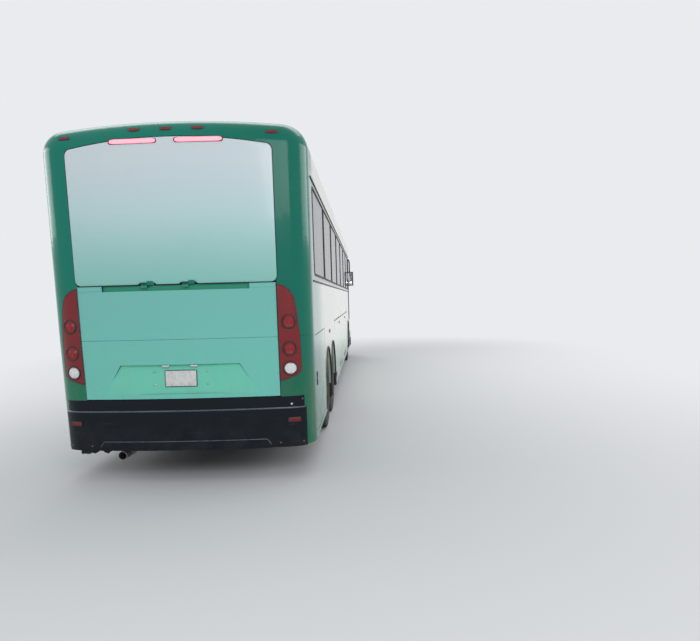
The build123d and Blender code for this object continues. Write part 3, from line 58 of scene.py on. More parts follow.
def makeCamera(v):
    yaw, pitch, roll = (math.radians(v[k]) for k in ("yaw", "pitch", "roll"))
    ahead = np.array([math.sin(yaw) * math.cos(pitch), -math.cos(yaw) * math.cos(pitch), math.sin(pitch)])
    right = np.cross(ahead, [0, 0, 1])
    right /= np.linalg.norm(right)
    up = np.cross(right, ahead)
    right, up = math.cos(roll) * right + math.sin(roll) * up, math.cos(roll) * up - math.sin(roll) * right
    m = np.eye(4)
    m[:3, 0], m[:3, 1], m[:3, 2], m[:3, 3] = right, up, -ahead, v["place"]
    data = bpy.data.cameras.new("camera")
    data.sensor_width = 36.0
    data.lens = v["focal"] / v["wide"] * data.sensor_width
    data.shift_y = (v["middleY"] - v["high"] / 2) / v["wide"]
    data.clip_end = 200.0
    cam = bpy.data.objects.new("camera", data)
    scene.collection.objects.link(cam)
    cam.matrix_world = Matrix(m.tolist())
    scene.camera = cam


makeCamera(view)
print("camera placed")


# Shader maths: a wrapped socket, whose operators add Math nodes
class Wire:
    def __init__(self, finish, source):  # source is a socket, or a node whose first output is meant
        self.finish = finish
        self.socket = source if isinstance(source, bpy.types.NodeSocket) else source.outputs[0]

    def math(self, operation, *others, flip=False):  # flip: the other input comes first
        inputs = [*others, self] if flip else [self, *others]
        return Wire(self.finish, self.finish.node("Math", dict(operation=operation), dict(enumerate(inputs))))

    def __add__(self, o): return self.math("ADD", o)
    def __radd__(self, o): return self.math("ADD", o)
    def __sub__(self, o): return self.math("SUBTRACT", o)
    def __rsub__(self, o): return self.math("SUBTRACT", o, flip=True)
    def __mul__(self, o): return self.math("MULTIPLY", o)
    def __rmul__(self, o): return self.math("MULTIPLY", o)
    def __truediv__(self, o): return self.math("DIVIDE", o)
    def __rtruediv__(self, o): return self.math("DIVIDE", o, flip=True)
    def __pow__(self, o): return self.math("POWER", o)
    def __gt__(self, o): return self.math("GREATER_THAN", o)
    def __lt__(self, o): return self.math("LESS_THAN", o)
    def abs(self): return self.math("ABSOLUTE")
    def low(self, o): return self.math("MINIMUM", o)
    def high(self, o): return self.math("MAXIMUM", o)
    def wave(self): return self.math("SINE")
    def part(self): return self.math("FRACT")

    def rise(self, a, b):  # 0 below a, 1 above b, smooth between
        return Wire(self.finish, self.finish.node("MapRange", dict(interpolation_type="SMOOTHSTEP"),
                                                  {"Value": self, "From Min": a, "From Max": b}))


class NodeTree:  # a node tree of a material or of the world
    def __init__(self, owner):
        owner.use_nodes = True
        self.tree = owner.node_tree

    def node(self, kind, settings=None, inputs=None):
        n = self.tree.nodes.new("ShaderNode" + kind)
        for key, value in (settings or {}).items():
            if key == "stops":
                ramp = n.color_ramp
                while len(ramp.elements) < len(value):
                    ramp.elements.new(0.5)
                for element, (at, colour) in zip(ramp.elements, value):
                    element.position = at
                    element.color = (*colour, 1) if len(colour) == 3 else colour
            else:
                setattr(n, key, value)
        for key, value in (inputs or {}).items():
            self.feed(n.inputs[key], value)
        return n

    def feed(self, socket, value):
        if isinstance(value, Wire):
            self.tree.links.new(value.socket, socket)
        elif isinstance(value, bpy.types.NodeSocket):
            self.tree.links.new(value, socket)
        elif isinstance(value, (tuple, list)) and len(value) == 3 and socket.type == "RGBA":
            socket.default_value = (*value, 1)
        else:
            socket.default_value = value

    def toCamera(self):  # 1 for rays that the camera, a shine or clear glass sends, 0 for light that bounces
        rays = self.node("LightPath").outputs
        seen, shine, through = (Wire(self, rays[f"Is {kind} Ray"])
                                for kind in ("Camera", "Glossy", "Transmission"))
        return seen.high(shine).high(through)

    def finishWith(self, output, factor, a, b):  # the tree's output mixes two shaders
        both = self.node("MixShader", None, {0: factor, 1: a.outputs[0], 2: b.outputs[0]})
        self.tree.links.new(both.outputs[0], self.tree.nodes[output].inputs[0])


class Finish(NodeTree):  # a material, and the nodes that make its look
    def __init__(self, name, **constants):
        self.mat = bpy.data.materials.new(name)
        super().__init__(self.mat)
        self.bsdf = self.tree.nodes["Principled BSDF"]
        self.coord = None
        self.set(**constants)

    def set(self, **values):  # baseColor=..., roughness=..., by the shader's own socket names
        names = dict(baseColor="Base Color", roughness="Roughness", metallic="Metallic", coat="Coat Weight",
                     coatRoughness="Coat Roughness", alpha="Alpha", emission="Emission Color",
                     emissionStrength="Emission Strength", normal="Normal", sheen="Sheen Weight", ior="IOR",
                     specular="Specular IOR Level")
        for key, value in values.items():
            self.feed(self.bsdf.inputs[names[key]], value)

    def xyz(self):  # Object coordinates, as three wires
        if self.coord is None:
            self.coord = self.node("TexCoord").outputs["Object"]
            self.place = self.apart(self.coord)
        return self.place

    def apart(self, vector):
        split = self.node("SeparateXYZ", None, {0: vector})
        return [Wire(self, s) for s in split.outputs]

    def noise(self, scale, detail=3.0, rough=0.55, stretch=(1, 1, 1)):
        self.xyz()
        spot = self.coord
        if stretch != (1, 1, 1):
            spot = self.node("Mapping", None, {"Vector": spot, "Scale": stretch}).outputs[0]
        return Wire(self, self.node("TexNoise", None, {"Vector": spot, "Scale": scale, "Detail": detail,
                                                       "Roughness": rough}))

    def mix(self, factor, a, b):
        return self.node("Mix", dict(data_type="RGBA"), {"Factor": factor, 6: a, 7: b}).outputs[2]

    def ramp(self, factor, *stops):
        return self.node("ValToRGB", dict(stops=stops), {0: factor}).outputs[0]

    def bump(self, height, strength, distance):
        return self.node("Bump", None, {"Height": height, "Strength": strength,
                                        "Distance": distance}).outputs[0]


# Mesh making: every shape is a list of (points, faces) made from whole arrays
def grid(points, roundU=False, roundV=False):  # faces between the neighbours of a (u, v, 3) array of points
    nu, nv = points.shape[:2]
    i = np.arange(nu if roundU else nu - 1)[:, None]
    j = np.arange(nv if roundV else nv - 1)[None, :]
    i2, j2 = (i + 1) % nu, (j + 1) % nv
    faces = np.stack([i * nv + j, i2 * nv + j, i2 * nv + j2, i * nv + j2], -1).reshape(-1, 4)
    return points.reshape(-1, 3).astype(float), faces


def xyz(x, y, z):  # numbers or arrays as one array of points
    return np.stack(np.broadcast_arrays(x, y, z), -1)


def mm(*values):  # pairs of millimetres, as an array of points (a, b) in metres
    return np.array(values).reshape(-1, 2) / 1000


def field(countU, countV, lowU=-1, lowV=-1):  # two arrays that run up to 1 across a grid
    return np.meshgrid(np.linspace(lowU, 1, countU), np.linspace(lowV, 1, countV), indexing="ij")


def join(shapes):  # several shapes as one, with the faces counted on
    shapes = list(shapes)
    starts = np.cumsum([0] + [len(s[0]) for s in shapes[:-1]])
    return np.concatenate([s[0] for s in shapes]), np.concatenate([s[1] + n for s, n in zip(shapes, starts)])


def moved(shape, x=0.0, y=0.0, z=0.0):
    return shape[0] + [x, y, z], shape[1]


def mirrored(shape, side):  # the same shape, or its mirror image on the other side when side is -1
    return shape[0] * [side, 1, 1], shape[1] if side > 0 else shape[1][:, ::-1]


def flipped(shapes, side):
    return [mirrored(s, side) for s in shapes]


def turned(shape, axis, degrees, about=(0, 0, 0)):
    c, s = math.cos(math.radians(degrees)), math.sin(math.radians(degrees))
    a, b = [k for k in range(3) if k != "xyz".index(axis)]
    p = shape[0] - np.array(about)
    q = p.copy()
    q[:, a], q[:, b] = c * p[:, a] - s * p[:, b], s * p[:, a] + c * p[:, b]
    return q + np.array(about), shape[1]


def roundBox(middle, size, radius, n=2):
    # corner cube pulled in by the radius, plus the radius times the direction of a sphere at angles u and v
    quarter = np.linspace(0, math.pi / 2, n + 1)
    u = np.concatenate([quarter + k * math.pi / 2 for k in range(4)])
    signU = np.repeat([[1, 1], [-1, 1], [-1, -1], [1, -1]], n + 1, axis=0)
    v = np.concatenate([quarter - math.pi / 2, quarter])
    signV = np.repeat([-1, 1], n + 1)
    half = np.array(size) / 2 - radius
    p = np.empty((len(v), len(u), 3))
    p[..., 0] = signU[:, 0] * half[0] + radius * np.cos(v)[:, None] * np.cos(u)
    p[..., 1] = signU[:, 1] * half[1] + radius * np.cos(v)[:, None] * np.sin(u)
    p[..., 2] = (signV * half[2] + radius * np.sin(v))[:, None]
    lid = p[[0, -1]].mean(axis=1, keepdims=True).repeat(len(u), axis=1)
    p = np.concatenate([lid[:1], p, lid[1:]])
    return grid(p[:, ::-1] + np.array(middle), roundV=True)


def spun(profile, axis="x", middle=(0, 0, 0), n=32):
    # a profile of (distance from the axis, place along it), carried round the axis by the angle u
    profile = np.array(profile, float)
    u = np.linspace(0, 2 * math.pi, n, endpoint=False)
    k = "xyz".index(axis)
    a, b = (k + 1) % 3, (k + 2) % 3
    p = np.empty((len(profile), n, 3))
    p[..., k] = profile[:, 1:2]
    p[..., a] = profile[:, :1] * np.cos(u)
    p[..., b] = profile[:, :1] * np.sin(u)
    return grid(p + np.array(middle), roundV=True)


def carried(path, profile, out, closed=True):
    # each profile point (a, b) goes to path + a times the outward direction + b times the other one
    path, out, profile = np.array(path, float), np.array(out, float), np.array(profile, float)
    ahead = np.roll(path, -1, 0) - np.roll(path, 1, 0) if closed else np.gradient(path, axis=0)
    ahead /= np.linalg.norm(ahead, axis=1, keepdims=True)
    out = np.broadcast_to(out, path.shape)
    out = out - (out * ahead).sum(1, keepdims=True) * ahead
    out = out / np.linalg.norm(out, axis=1, keepdims=True)
    across = np.cross(ahead, out)
    p = path[:, None] + profile[None, :, :1] * out[:, None] + profile[None, :, 1:] * across[:, None]
    if not closed:
        ends = p[[0, -1]].mean(axis=1, keepdims=True).repeat(len(profile), axis=1)
        p = np.concatenate([ends[:1], p, ends[1:]])
    return grid(p, roundU=closed, roundV=True)


def swept(path, profile, out):  # carried along an open path, with both ends closed
    return carried(path, profile, out, closed=False)


def roundPath(halfA, halfB, radius, n=5):  # outline of a round-cornered rectangle, as (a, b) pairs
    t = np.linspace(0, math.pi / 2, n)
    turns = [(1, 1, 0), (-1, 1, 1), (-1, -1, 2), (1, -1, 3)]
    return np.concatenate([np.stack([sa * (halfA - radius) + radius * np.cos(t + k * math.pi / 2),
                                     sb * (halfB - radius) + radius * np.sin(t + k * math.pi / 2)], 1)
                           for sa, sb, k in turns])


def laid(outline, axis, level):  # a flat outline as points in space, at this level along the axis across it
    return np.insert(np.array(outline, float), "xyz".index(axis), level, axis=1)


def ringProfile(radius, n=8):
    t = np.linspace(0, 2 * math.pi, n, endpoint=False)
    return np.stack([radius * np.cos(t), radius * np.sin(t)], 1)


def smoothPath(points, n=24):  # a path through a few points: a Catmull-Rom blend of the four nearest
    q = np.array(points, float)
    q = np.concatenate([2 * q[:1] - q[1:2], q, 2 * q[-1:] - q[-2:-1]])
    t = np.linspace(0, len(points) - 1 - 1e-9, n)
    k, f = np.floor(t).astype(int), (t % 1)[:, None]
    a, b, c, d = q[k], q[k + 1], q[k + 2], q[k + 3]
    return 0.5 * (2 * b + (c - a) * f + (2 * a - 5 * b + 4 * c - d) * f ** 2
                  + (3 * b - a - 3 * c + d) * f ** 3)


def rod(points, radius, n=8):  # a round bar along a path, smooth where it has more than two points
    path = np.array(points, float)
    if len(path) > 2:
        path = smoothPath(path, 8 * len(path))
    lean = path[-1] - path[0]
    out = np.eye(3)[np.argmin(np.abs(lean) + np.ptp(path, axis=0))]
    return swept(path, ringProfile(radius, n), out)


def putPiece(name, shapes, rides, finishes, smooth=35, uv=None):
    # shapes is one shape or a list; with several finishes it is a list of lists, one for each
    if isinstance(shapes, tuple):
        shapes = [shapes]
    if not isinstance(finishes, (list, tuple)):
        finishes, groups = [finishes], [shapes]
    else:
        groups = [[g] if isinstance(g, tuple) else g for g in shapes]
    points, faces = join([s for g in groups for s in g])
    which = np.concatenate([np.full(sum(len(s[1]) for s in g), k) for k, g in enumerate(groups)])
    mesh = bpy.data.meshes.new(name)
    mesh.vertices.add(len(points))
    mesh.vertices.foreach_set("co", points.ravel())
    mesh.loops.add(faces.size)
    mesh.loops.foreach_set("vertex_index", faces.ravel())
    mesh.polygons.add(len(faces))
    mesh.polygons.foreach_set("loop_start", np.arange(len(faces)) * 4)
    mesh.polygons.foreach_set("material_index", which.astype(np.int32))
    mesh.update(calc_edges=True)
    if uv is not None:
        layer = mesh.uv_layers.new(name="surface")
        layer.data.foreach_set("uv", uv[faces.ravel()].ravel())
    for f in finishes:
        mesh.materials.append(f.mat)
    b = bmesh.new()
    b.from_mesh(mesh)
    bmesh.ops.remove_doubles(b, verts=b.verts, dist=2e-6)
    bmesh.ops.dissolve_degenerate(b, edges=b.edges, dist=1e-7)
    bmesh.ops.recalc_face_normals(b, faces=b.faces)
    b.to_mesh(mesh)
    b.free()
    mesh.shade_smooth()
    mesh.set_sharp_from_angle(angle=math.radians(smooth))
    piece = bpy.data.objects.new(name, mesh)
    scene.collection.objects.link(piece)
    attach(piece, rides)
    return piece


# Finishes
# deepGreen is painted shade on the rear cap's right side
colours = dict(green=(0.003, 0.200, 0.140), deepGreen=(0.002, 0.100, 0.062), cream=(0.70, 0.72, 0.63),
               lowMint=(0.25, 0.47, 0.33), doorMint=(0.190, 0.545, 0.485), recessMint=(0.170, 0.640, 0.480),
               panelTop=(0.66, 0.74, 0.775), panelMiddle=(0.53, 0.72, 0.725), panelLow=(0.240, 0.570, 0.500),
               band=(0.006, 0.007, 0.008), dust=(0.21, 0.19, 0.16),
               trim=(0.40, 0.41, 0.41), underneath=(0.030, 0.030, 0.032))
sideFade = dict(rearFrom=4.90, rearTo=6.30, lowFrom=1.30, lowTo=0.45, bandLow=1.985, bandHigh=2.975,
                bandFront=-6.31, bandRear=6.44)


def outward(f):  # above 0 on outer faces: the normal against the way from the coach's long middle line
    x, y, z = f.xyz()
    nx, ny, nz = f.apart(f.node("TexCoord").outputs["Normal"])
    past = y - y.high(-6.3).low(6.3)
    return x * nx + past * ny * 6 + (z - 1.75) * nz


def painted(name, colour, inside="trim", dustTop=1.0, dustMost=0.5, roughness=0.16, gloss=0.35):
    # gloss paint with a clear coat, a little orange peel, dust low down and a plain inner side
    f = Finish(name, specular=0.10 + gloss / 3)
    x, y, z = f.xyz()
    outer = outward(f) > 0
    low = f.noise(1.4, 4) * 0.5 + 0.9
    dirt = (1 - (z / low).rise(0.30, dustTop)) * f.noise(7, 5, 0.7, (1, 1, 0.25)).rise(0.30, 0.72) * dustMost
    speck = f.noise(60, 2).rise(0.62, 0.75) * 0.12
    dirt = (dirt + speck * dirt + f.noise(2.2, 5, 0.65).rise(0.5, 0.9) * 0.05).low(1)
    shade = f.mix(dirt, colour(f, x, y, z), colours["dust"])
    f.set(baseColor=f.mix(outer, colours[inside], shade),
          roughness=(roughness + dirt * 0.5) * outer + (1 - outer) * 0.6,
          coat=(1 - dirt) * outer * gloss,
          normal=f.bump(f.noise(1.1, 2) * 6 + f.noise(240, 2) * 0.25 * (1 + dirt), 0.22, 0.004),
          coatRoughness=0.05)
    return f


def sideColour(f, x, y, z):
    fade = sideFade
    rearward = (y + f.noise(0.8, 2) * 0.3 - 0.15 + (1.5 - z) * 0.18).rise(fade["rearFrom"], fade["rearTo"])
    low = 1 - (z + f.noise(0.9, 2) * 0.2 - 0.1).rise(fade["lowTo"], fade["lowFrom"])
    tone = f.mix(low * 0.75, colours["cream"], colours["lowMint"])
    tone = f.mix(rearward, tone, colours["green"])
    band = (z > fade["bandLow"]) * (z < fade["bandHigh"])
    return f.mix(band * (y > fade["bandFront"]) * (y < fade["bandRear"]), tone, colours["band"])


def roofColour(f, x, y, z):
    rearward = y.rise(6.15, 6.5)
    weather = f.noise(1.6, 5, 0.6, (1, 0.35, 1)).rise(0.35, 0.8) * 0.45
    return f.mix(rearward, f.mix(weather, colours["cream"], (0.46, 0.46, 0.42)), colours["green"])


def rearColour(f, x, y, z):
    # towards the right side (-x) the green darkens: painted shade, as if the light came from the left
    side = (0 - x).rise(-0.2, 1.3)
    return f.mix(side * 0.45, f.mix(z.rise(0.8, 1.6), (0.012, 0.185, 0.095), colours["green"]),
                 colours["deepGreen"])


def frontColour(f, x, y, z):
    mask = (z > 1.42) * (x.abs() < 1.22) * (y < -6.36)
    lower = (z - x.abs() * 0.12).rise(0.60, 1.25)
    return f.mix(mask, f.mix(lower, colours["green"], colours["cream"]), colours["band"])


doorFade = dict(hollowTop=1.182, hollowLow=0.888, topHalf=0.59, splay=0.603, slotLow=1.894, slotHalf=0.716,
                lip=1.9445)


def doorColour(f, x, y, z):  # the door with its plate hollow, the slot over it, and above the slot's upper lip a dark green that is painted shade on the door's top edge and hinge knuckles
    fade = doorFade
    tone = f.mix(z.rise(0.85, 1.95), (0.175, 0.600, 0.500), colours["doorMint"])
    half = fade["topHalf"] + (1.18 - z) * fade["splay"]
    hollow = (z < fade["hollowTop"]) * (z > fade["hollowLow"]) * (x.abs() < half)
    tone = f.mix(hollow, tone, colours["recessMint"])
    slot = (z > fade["slotLow"]) * (x.abs() < fade["slotHalf"])
    tone = f.mix(slot, tone, (0.030, 0.300, 0.185))
    # painted shade: the top edge and hinge knuckles above the lip are painted dark, like the shaded slot
    return f.mix(z > fade["lip"], tone, (0.010, 0.085, 0.060))


def panelColour(f, x, y, z):
    haze = z + f.noise(0.8, 2) * 0.10
    return f.ramp((haze - 1.95) / 1.40, (0.0, colours["panelLow"]), (0.24, (0.35, 0.63, 0.595)),
                  (0.52, colours["panelMiddle"]), (0.85, colours["panelTop"]))


sidePaint = painted("side_paint_finish", sideColour)
skirtPaint = painted("skirt_paint_finish", sideColour, "underneath")
roofPaint = painted("roof_paint_finish", roofColour, dustMost=0.0, roughness=0.30)
rearPaint = painted("rear_paint_finish", rearColour, dustTop=1.3, dustMost=0.35, gloss=0.15)
frontPaint = painted("front_paint_finish", frontColour)
doorPaint = painted("engine_door_finish", doorColour, "underneath", dustTop=1.35, dustMost=0.16, gloss=0.2)
panelPaint = painted("rear_panel_finish", panelColour, dustMost=0.0, gloss=0.2)


def makeBumper():
    f = Finish("bumper_finish", specular=0.15)
    x, y, z = f.xyz()
    scuff = f.noise(9, 6, 0.75, (0.25, 1, 4)).rise(0.60, 0.72) * (1 - z.rise(0.45, 0.80)) * 0.7
    dusty = (1 - z.rise(0.30, 0.75)) * f.noise(5, 5, 0.7).rise(0.35, 0.8) * 0.35
    tone = f.mix(dusty, (0.003, 0.006, 0.011), (0.050, 0.049, 0.046))
    f.set(baseColor=f.mix(scuff * 0.5, tone, (0.10, 0.105, 0.11)),
          roughness=0.30 + dusty * 0.4 + scuff * 0.2,
          coat=(1 - dusty) * 0.12, normal=f.bump(f.noise(900, 2) + scuff * 2, 0.25, 0.0006),
          coatRoughness=0.15)
    return f


def makeGlass(name, alpha, tint=(0.008, 0.010, 0.011)):
    f = Finish(name, ior=1.5, alpha=alpha, specular=0.6)
    film = f.noise(3, 5, 0.7).rise(0.4, 0.9) * 0.08
    f.set(baseColor=f.mix(film, tint, (0.12, 0.12, 0.11)), roughness=0.03 + film,
          normal=f.bump(f.noise(0.9, 1), 0.05, 0.006))
    return f


amberRed = (((0.75, 0.22, 0.02), (0.235, 0.006, 0.009)), ((0.36, 0.07, 0.005), (0.090, 0.002, 0.003)))


def makeLens(name, tone, deep, flute=420.0, glow=None, strength=0.0):
    # a moulded lens: fine upright flutes, darker at its depth
    f = Finish(name, specular=0.30, coatRoughness=0.04)
    x, y, z = f.xyz()
    lines = ((x + y * 0.3) * flute).wave() * 0.5 + 0.5
    cross = (z * flute).wave() * 0.5 + 0.5
    if tone is None:  # amber on the front half, red on the rear half
        tone, deep = (f.mix(y > 0, *pair) for pair in amberRed)
    f.set(baseColor=f.mix(lines * cross * 0.55 + f.noise(14, 2) * 0.2, tone, deep),
          roughness=0.12 + lines * 0.10, coat=0.30, normal=f.bump(lines + cross, 0.35, 0.0012))
    if glow:
        f.set(emission=glow, emissionStrength=strength)
    return f


def makePlain(name, tone, second, scale=9.0, rough=0.5, swing=0.2, metallic=0.0, coat=0.0, grain=400.0,
              bump=0.2, depth=0.0006, stretch=(1, 1, 1), amount=0.6):
    # one tone drifting into a second one, with a fine grain
    f = Finish(name, metallic=metallic, coat=coat)
    patch = f.noise(scale, 5, 0.65, stretch)
    f.set(baseColor=f.mix(patch.rise(0.35, 0.75) * amount, tone, second),
          roughness=rough + (patch - 0.5) * swing,
          normal=f.bump(f.noise(grain, 2, 0.6, stretch), bump, depth))
    return f


bumperPaint = makeBumper()
windowGlass = makeGlass("window_glass", 0.80)
shieldGlass = makeGlass("shield_glass", 0.42, (0.015, 0.022, 0.020))
doorGlass = makeGlass("door_glass", 0.55)
redLens = makeLens("red_lens_finish", amberRed[0][1], amberRed[1][1])
clearLens = makeLens("clear_lens_finish", (0.80, 0.83, 0.84), (0.42, 0.45, 0.47))
markerLens = makeLens("marker_lens_finish", None, None)
amberLens = makeLens("amber_lens_finish", amberRed[0][0], amberRed[1][0])
rubber = makePlain("rubber_finish", (0.014, 0.014, 0.015), (0.050, 0.049, 0.046), rough=0.62, grain=600)
blackPlastic = makePlain("black_plastic_finish", (0.020, 0.020, 0.022), (0.042, 0.041, 0.040), grain=1300,
                         bump=0.35)
chassis = makePlain("chassis_finish", (0.022, 0.022, 0.024), (0.085, 0.060, 0.042), 4.0, 0.62, 0.3,
                    grain=180, bump=0.5, amount=0.8)
iron = makePlain("iron_finish", (0.14, 0.145, 0.15), (0.10, 0.075, 0.055), 6.0, 0.55, 0.3, 0.6, grain=240,
                 bump=0.5)
steel = makePlain("steel_finish", (0.42, 0.41, 0.39), (0.22, 0.17, 0.13), 8.0, 0.34, 0.3, 0.95, grain=90,
                  bump=0.3, stretch=(1, 0.15, 1))
chrome = makePlain("chrome_finish", (0.76, 0.77, 0.78), (0.60, 0.60, 0.60), 12.0, 0.10, 0.08, 1.0, grain=60,
                   bump=0.05)
alloy = makePlain("alloy_finish", (0.62, 0.63, 0.64), (0.36, 0.34, 0.31), 7.0, 0.30, 0.25, 1.0, grain=260)
whitePlastic = makePlain("pale_trim_finish", (0.52, 0.53, 0.52), (0.40, 0.40, 0.39), 3.0, 0.55, grain=900,
                         bump=0.3)
rubberFloor = makePlain("floor_finish", (0.060, 0.064, 0.070), (0.115, 0.118, 0.122), 300.0, 0.55,
                        grain=500, bump=0.4)
carpet = makePlain("carpet_finish", (0.020, 0.034, 0.060), (0.050, 0.070, 0.105), 160.0, 0.95, 0.05,
                   grain=900, bump=0.9, depth=0.002)
yellowStrip = makePlain("step_nosing_finish", (0.72, 0.47, 0.03), (0.50, 0.34, 0.05), 12.0, 0.6)
plateWhite = makePlain("plate_finish", (0.70, 0.70, 0.69), (0.46, 0.45, 0.43), 30.0, 0.35, coat=0.3, grain=60,
                       bump=0.15)
glowRed = makeLens("brake_bar_glow", (0.95, 0.10, 0.09), (0.85, 0.02, 0.03), 900.0, (1.0, 0.25, 0.32), 2.0)
print("finishes made")

nodeFinish = dict(side_wall_left=sidePaint, side_wall_right=sidePaint, skirt_left=skirtPaint,
                  skirt_right=skirtPaint, roof=roofPaint, front_cap=frontPaint, rear_cap=rearPaint,
                  engine_door=doorPaint, front_bumper=bumperPaint, rear_bumper=bumperPaint,
                  windshield=shieldGlass, side_windows=windowGlass, entrance_glass=doorGlass,
                  entrance_door=sidePaint, tail_lamps=redLens, headlamps=clearLens, marker_lamps=markerLens,
                  hatch_front=roofPaint, hatch_rear=roofPaint, cabin_floor=rubberFloor,
                  entrance_steps=rubberFloor, rear_wall=whitePlastic, engine=iron, exhaust=steel,
                  dashboard=blackPlastic, steering_wheel=blackPlastic, mirrors=blackPlastic, seats=carpet,
                  driver_seat=carpet, driver_platform=rubberFloor, parcel_racks=whitePlastic)
kindFinish = (("baggage_door", skirtPaint), ("service_door", skirtPaint), ("tyre", rubber), ("wheel", alloy),
              ("", chassis))
for name, obj in nodes.items():
    kind = next(finish for start, finish in kindFinish if name.startswith(start))
    finish = nodeFinish.get(name, kind)
    obj.data.materials.clear()
    obj.data.materials.append(finish.mat)
print("nodes painted")


# Surfaces of the body, as formulas on arrays
def circle(radius, away):  # height of a circle at a distance from its middle, and 0 past its edge
    return np.sqrt(np.maximum(radius ** 2 - away ** 2, 0))


def endY(x, bow, corner, apex, grow):
    # plan of an end: a wide bow in the middle and a tight arc at each corner
    x, inner, middle = np.abs(x), body["half"] - corner, apex - bow
    cornerY = middle + math.sqrt((bow - corner) ** 2 - inner ** 2)
    touch = inner * (bow + grow) / (bow - corner)
    return np.where(x < touch, middle + circle(bow + grow, x), cornerY + circle(corner + grow, x - inner))


def rearPlan(x, out=0.0):
    return endY(x, body["rearBow"], body["rearCorner"], body["rear"], out)


def frontPlan(x, out=0.0):
    return -endY(x, body["frontBow"], body["frontCorner"], -body["front"], out)


def leanBack(z, amount):  # an end leans inwards from the belt up
    return amount / (body["roof"] - body["belt"]) * np.maximum(z - body["belt"], 0)


def rearY(x, z):  # the rear skin, with a quarter round under the roof
    top = body["roof"] - body["crown"] + circle(body["crown"], x) - body["edge"]
    curve = circle(body["edge"], np.maximum(z - top, 0)) - body["edge"]
    return rearPlan(x) - leanBack(z, body["lean"]) + np.where(z > top, curve, 0)


def frontY(x, z):
    return frontPlan(x) + leanBack(z, body["rake"])


def skinPatch(outline, middle, lift, rings, edge=0.0015):
    # rings drawn in from a closed (x, z) outline to its middle, laid on the rear skin with a rounded rim
    inset = np.concatenate([[1.0, 1.0], np.linspace(0.996, 0.0, rings)])[:, None, None]
    out = np.concatenate([[-edge * 2, lift - edge], np.full(rings, lift)])[:, None]
    x, z = np.moveaxis(middle + inset * (outline - np.array(middle)), -1, 0)
    return grid(xyz(x, rearY(x, z) + out, z), roundV=True)


# Upper rear panel, a skin with round lower corners and an arched top
rearPanel = dict(half=0.981, low=1.9555, high=3.211, rise=0.085, corner=0.058, lift=0.0035,
                 hinges=(-0.14, 0.26), step=0.018, stepEnds=(-0.092, -0.070, 0.0, 0.070, 0.092))


def panelOutline(p, n=40):
    t = np.linspace(0, 1, n)
    arc = math.pi / 2 * np.linspace(0, 1, 9)
    half, low, high, r, flip = p["half"], p["low"], p["high"], p["corner"], [-1, 1]
    toHinge = lambda x: np.min([np.abs(x - h) for h in p["hinges"]], axis=0)
    x = (half - r) * (2 * t - 1)
    top = np.stack([-x, high + p["rise"] * (1 - (x / half) ** 2)], 1)
    steps = [h + d for h in p["hinges"] for d in p["stepEnds"]]
    x = np.sort(np.concatenate([x[toHinge(x) > 0.11], steps]))  # the edge steps up over the door's two hinges
    bottom = np.stack([x, np.where(toHinge(x) < 0.08, low + p["step"], low)], 1)
    rightLow = np.stack([half - r + r * np.sin(arc), low + r - r * np.cos(arc)], 1)
    right = np.stack([np.full(n, half), low + r + (high - r - low - r) * t], 1)
    rightTop = np.stack([half - r + r * np.cos(arc), high - r + (r + 0.011) * np.sin(arc)], 1)
    parts = [bottom, rightLow, right, rightTop, top, rightTop[::-1] * flip, right[::-1] * flip,
             rightLow[::-1] * flip]
    return np.concatenate([q[:-1] for q in parts])


putPiece("rear_panel_skin", skinPatch(panelOutline(rearPanel), (0, 2.6), rearPanel["lift"], 26), "body",
         panelPaint, 40)


# Tail lamps: three round lamps in each red column, each with a black ring and a stepped dome
roundLamps = dict(x=1.078, heights=(1.567, 1.305, 1.112), ring=0.073, glass=0.060, proud=0.007)


def onRear(shape, x, z, surface=rearY):  # turns a shape drawn round the origin to face out of a curved end
    y = surface(x + np.array([-0.01, 0, 0.01]), np.full(3, z))
    return moved(turned(shape, "z", math.degrees(math.atan((y[2] - y[0]) / 0.02))), x, float(y[1]), z)


r, g, out = roundLamps["ring"], roundLamps["glass"], roundLamps["proud"]
ring = spun([(r, -0.004), (r, out), (r - 0.004, out + 0.004), (g + 0.004, out + 0.004), (g, out),
             (g - 0.004, -0.002), (r - 0.002, -0.006)], "y", n=48)
steps = np.linspace(g - 0.001, 0.0, 26)
dome = 0.004 + 0.012 * (1 - (steps / g) ** 2) + 0.0016 * np.sin(steps * 520) * (steps > 0.004)
dome = spun(np.stack([steps, dome], 1), "y", n=48)
places = [(side * roundLamps["x"], z) for side in (1, -1) for z in roundLamps["heights"]]
rings, domes = ([onRear(shape, *p) for p in places] for shape in (ring, dome))
domeRed = makeLens("lamp_dome_red", (0.32, 0.010, 0.014), (0.12, 0.003, 0.006), 700.0)
domeClear = makeLens("lamp_dome_clear", (0.86, 0.87, 0.86), (0.48, 0.50, 0.50), 700.0)
putPiece("tail_lamp_domes", [domes[0:2] + domes[3:5], domes[2::3], rings], "body",
         [domeRed, domeClear, blackPlastic])


# Rubber beads round the tail lamps and the upper panel
lampOutline = mm(976.5, 992,  976.5, 1200,  976.5, 1500,  976.5, 1800,  976.5, 1930,  1040, 1905,  1094, 1868,
                 1125, 1806,  1144, 1740,  1162, 1590,  1176, 1440,  1182, 1280,  1182, 1120,  1173, 1074,
                 1130, 1041,  1050, 1016)


def skinBead(outline, radius, lift):  # a round bead laid along an outline on the rear skin
    return carried(laid(outline, "y", rearY(*outline.T) + lift), ringProfile(radius), (0, 1, 0.001))


beads = [skinBead(lampOutline * [side, 1], 0.0045, 0.006) for side in (1, -1)]
beads.append(skinBead(panelOutline(dict(rearPanel, half=0.9855, low=1.9515, high=3.2155)), 0.0032, -0.001))
putPiece("rear_beads", beads, "body", rubber)


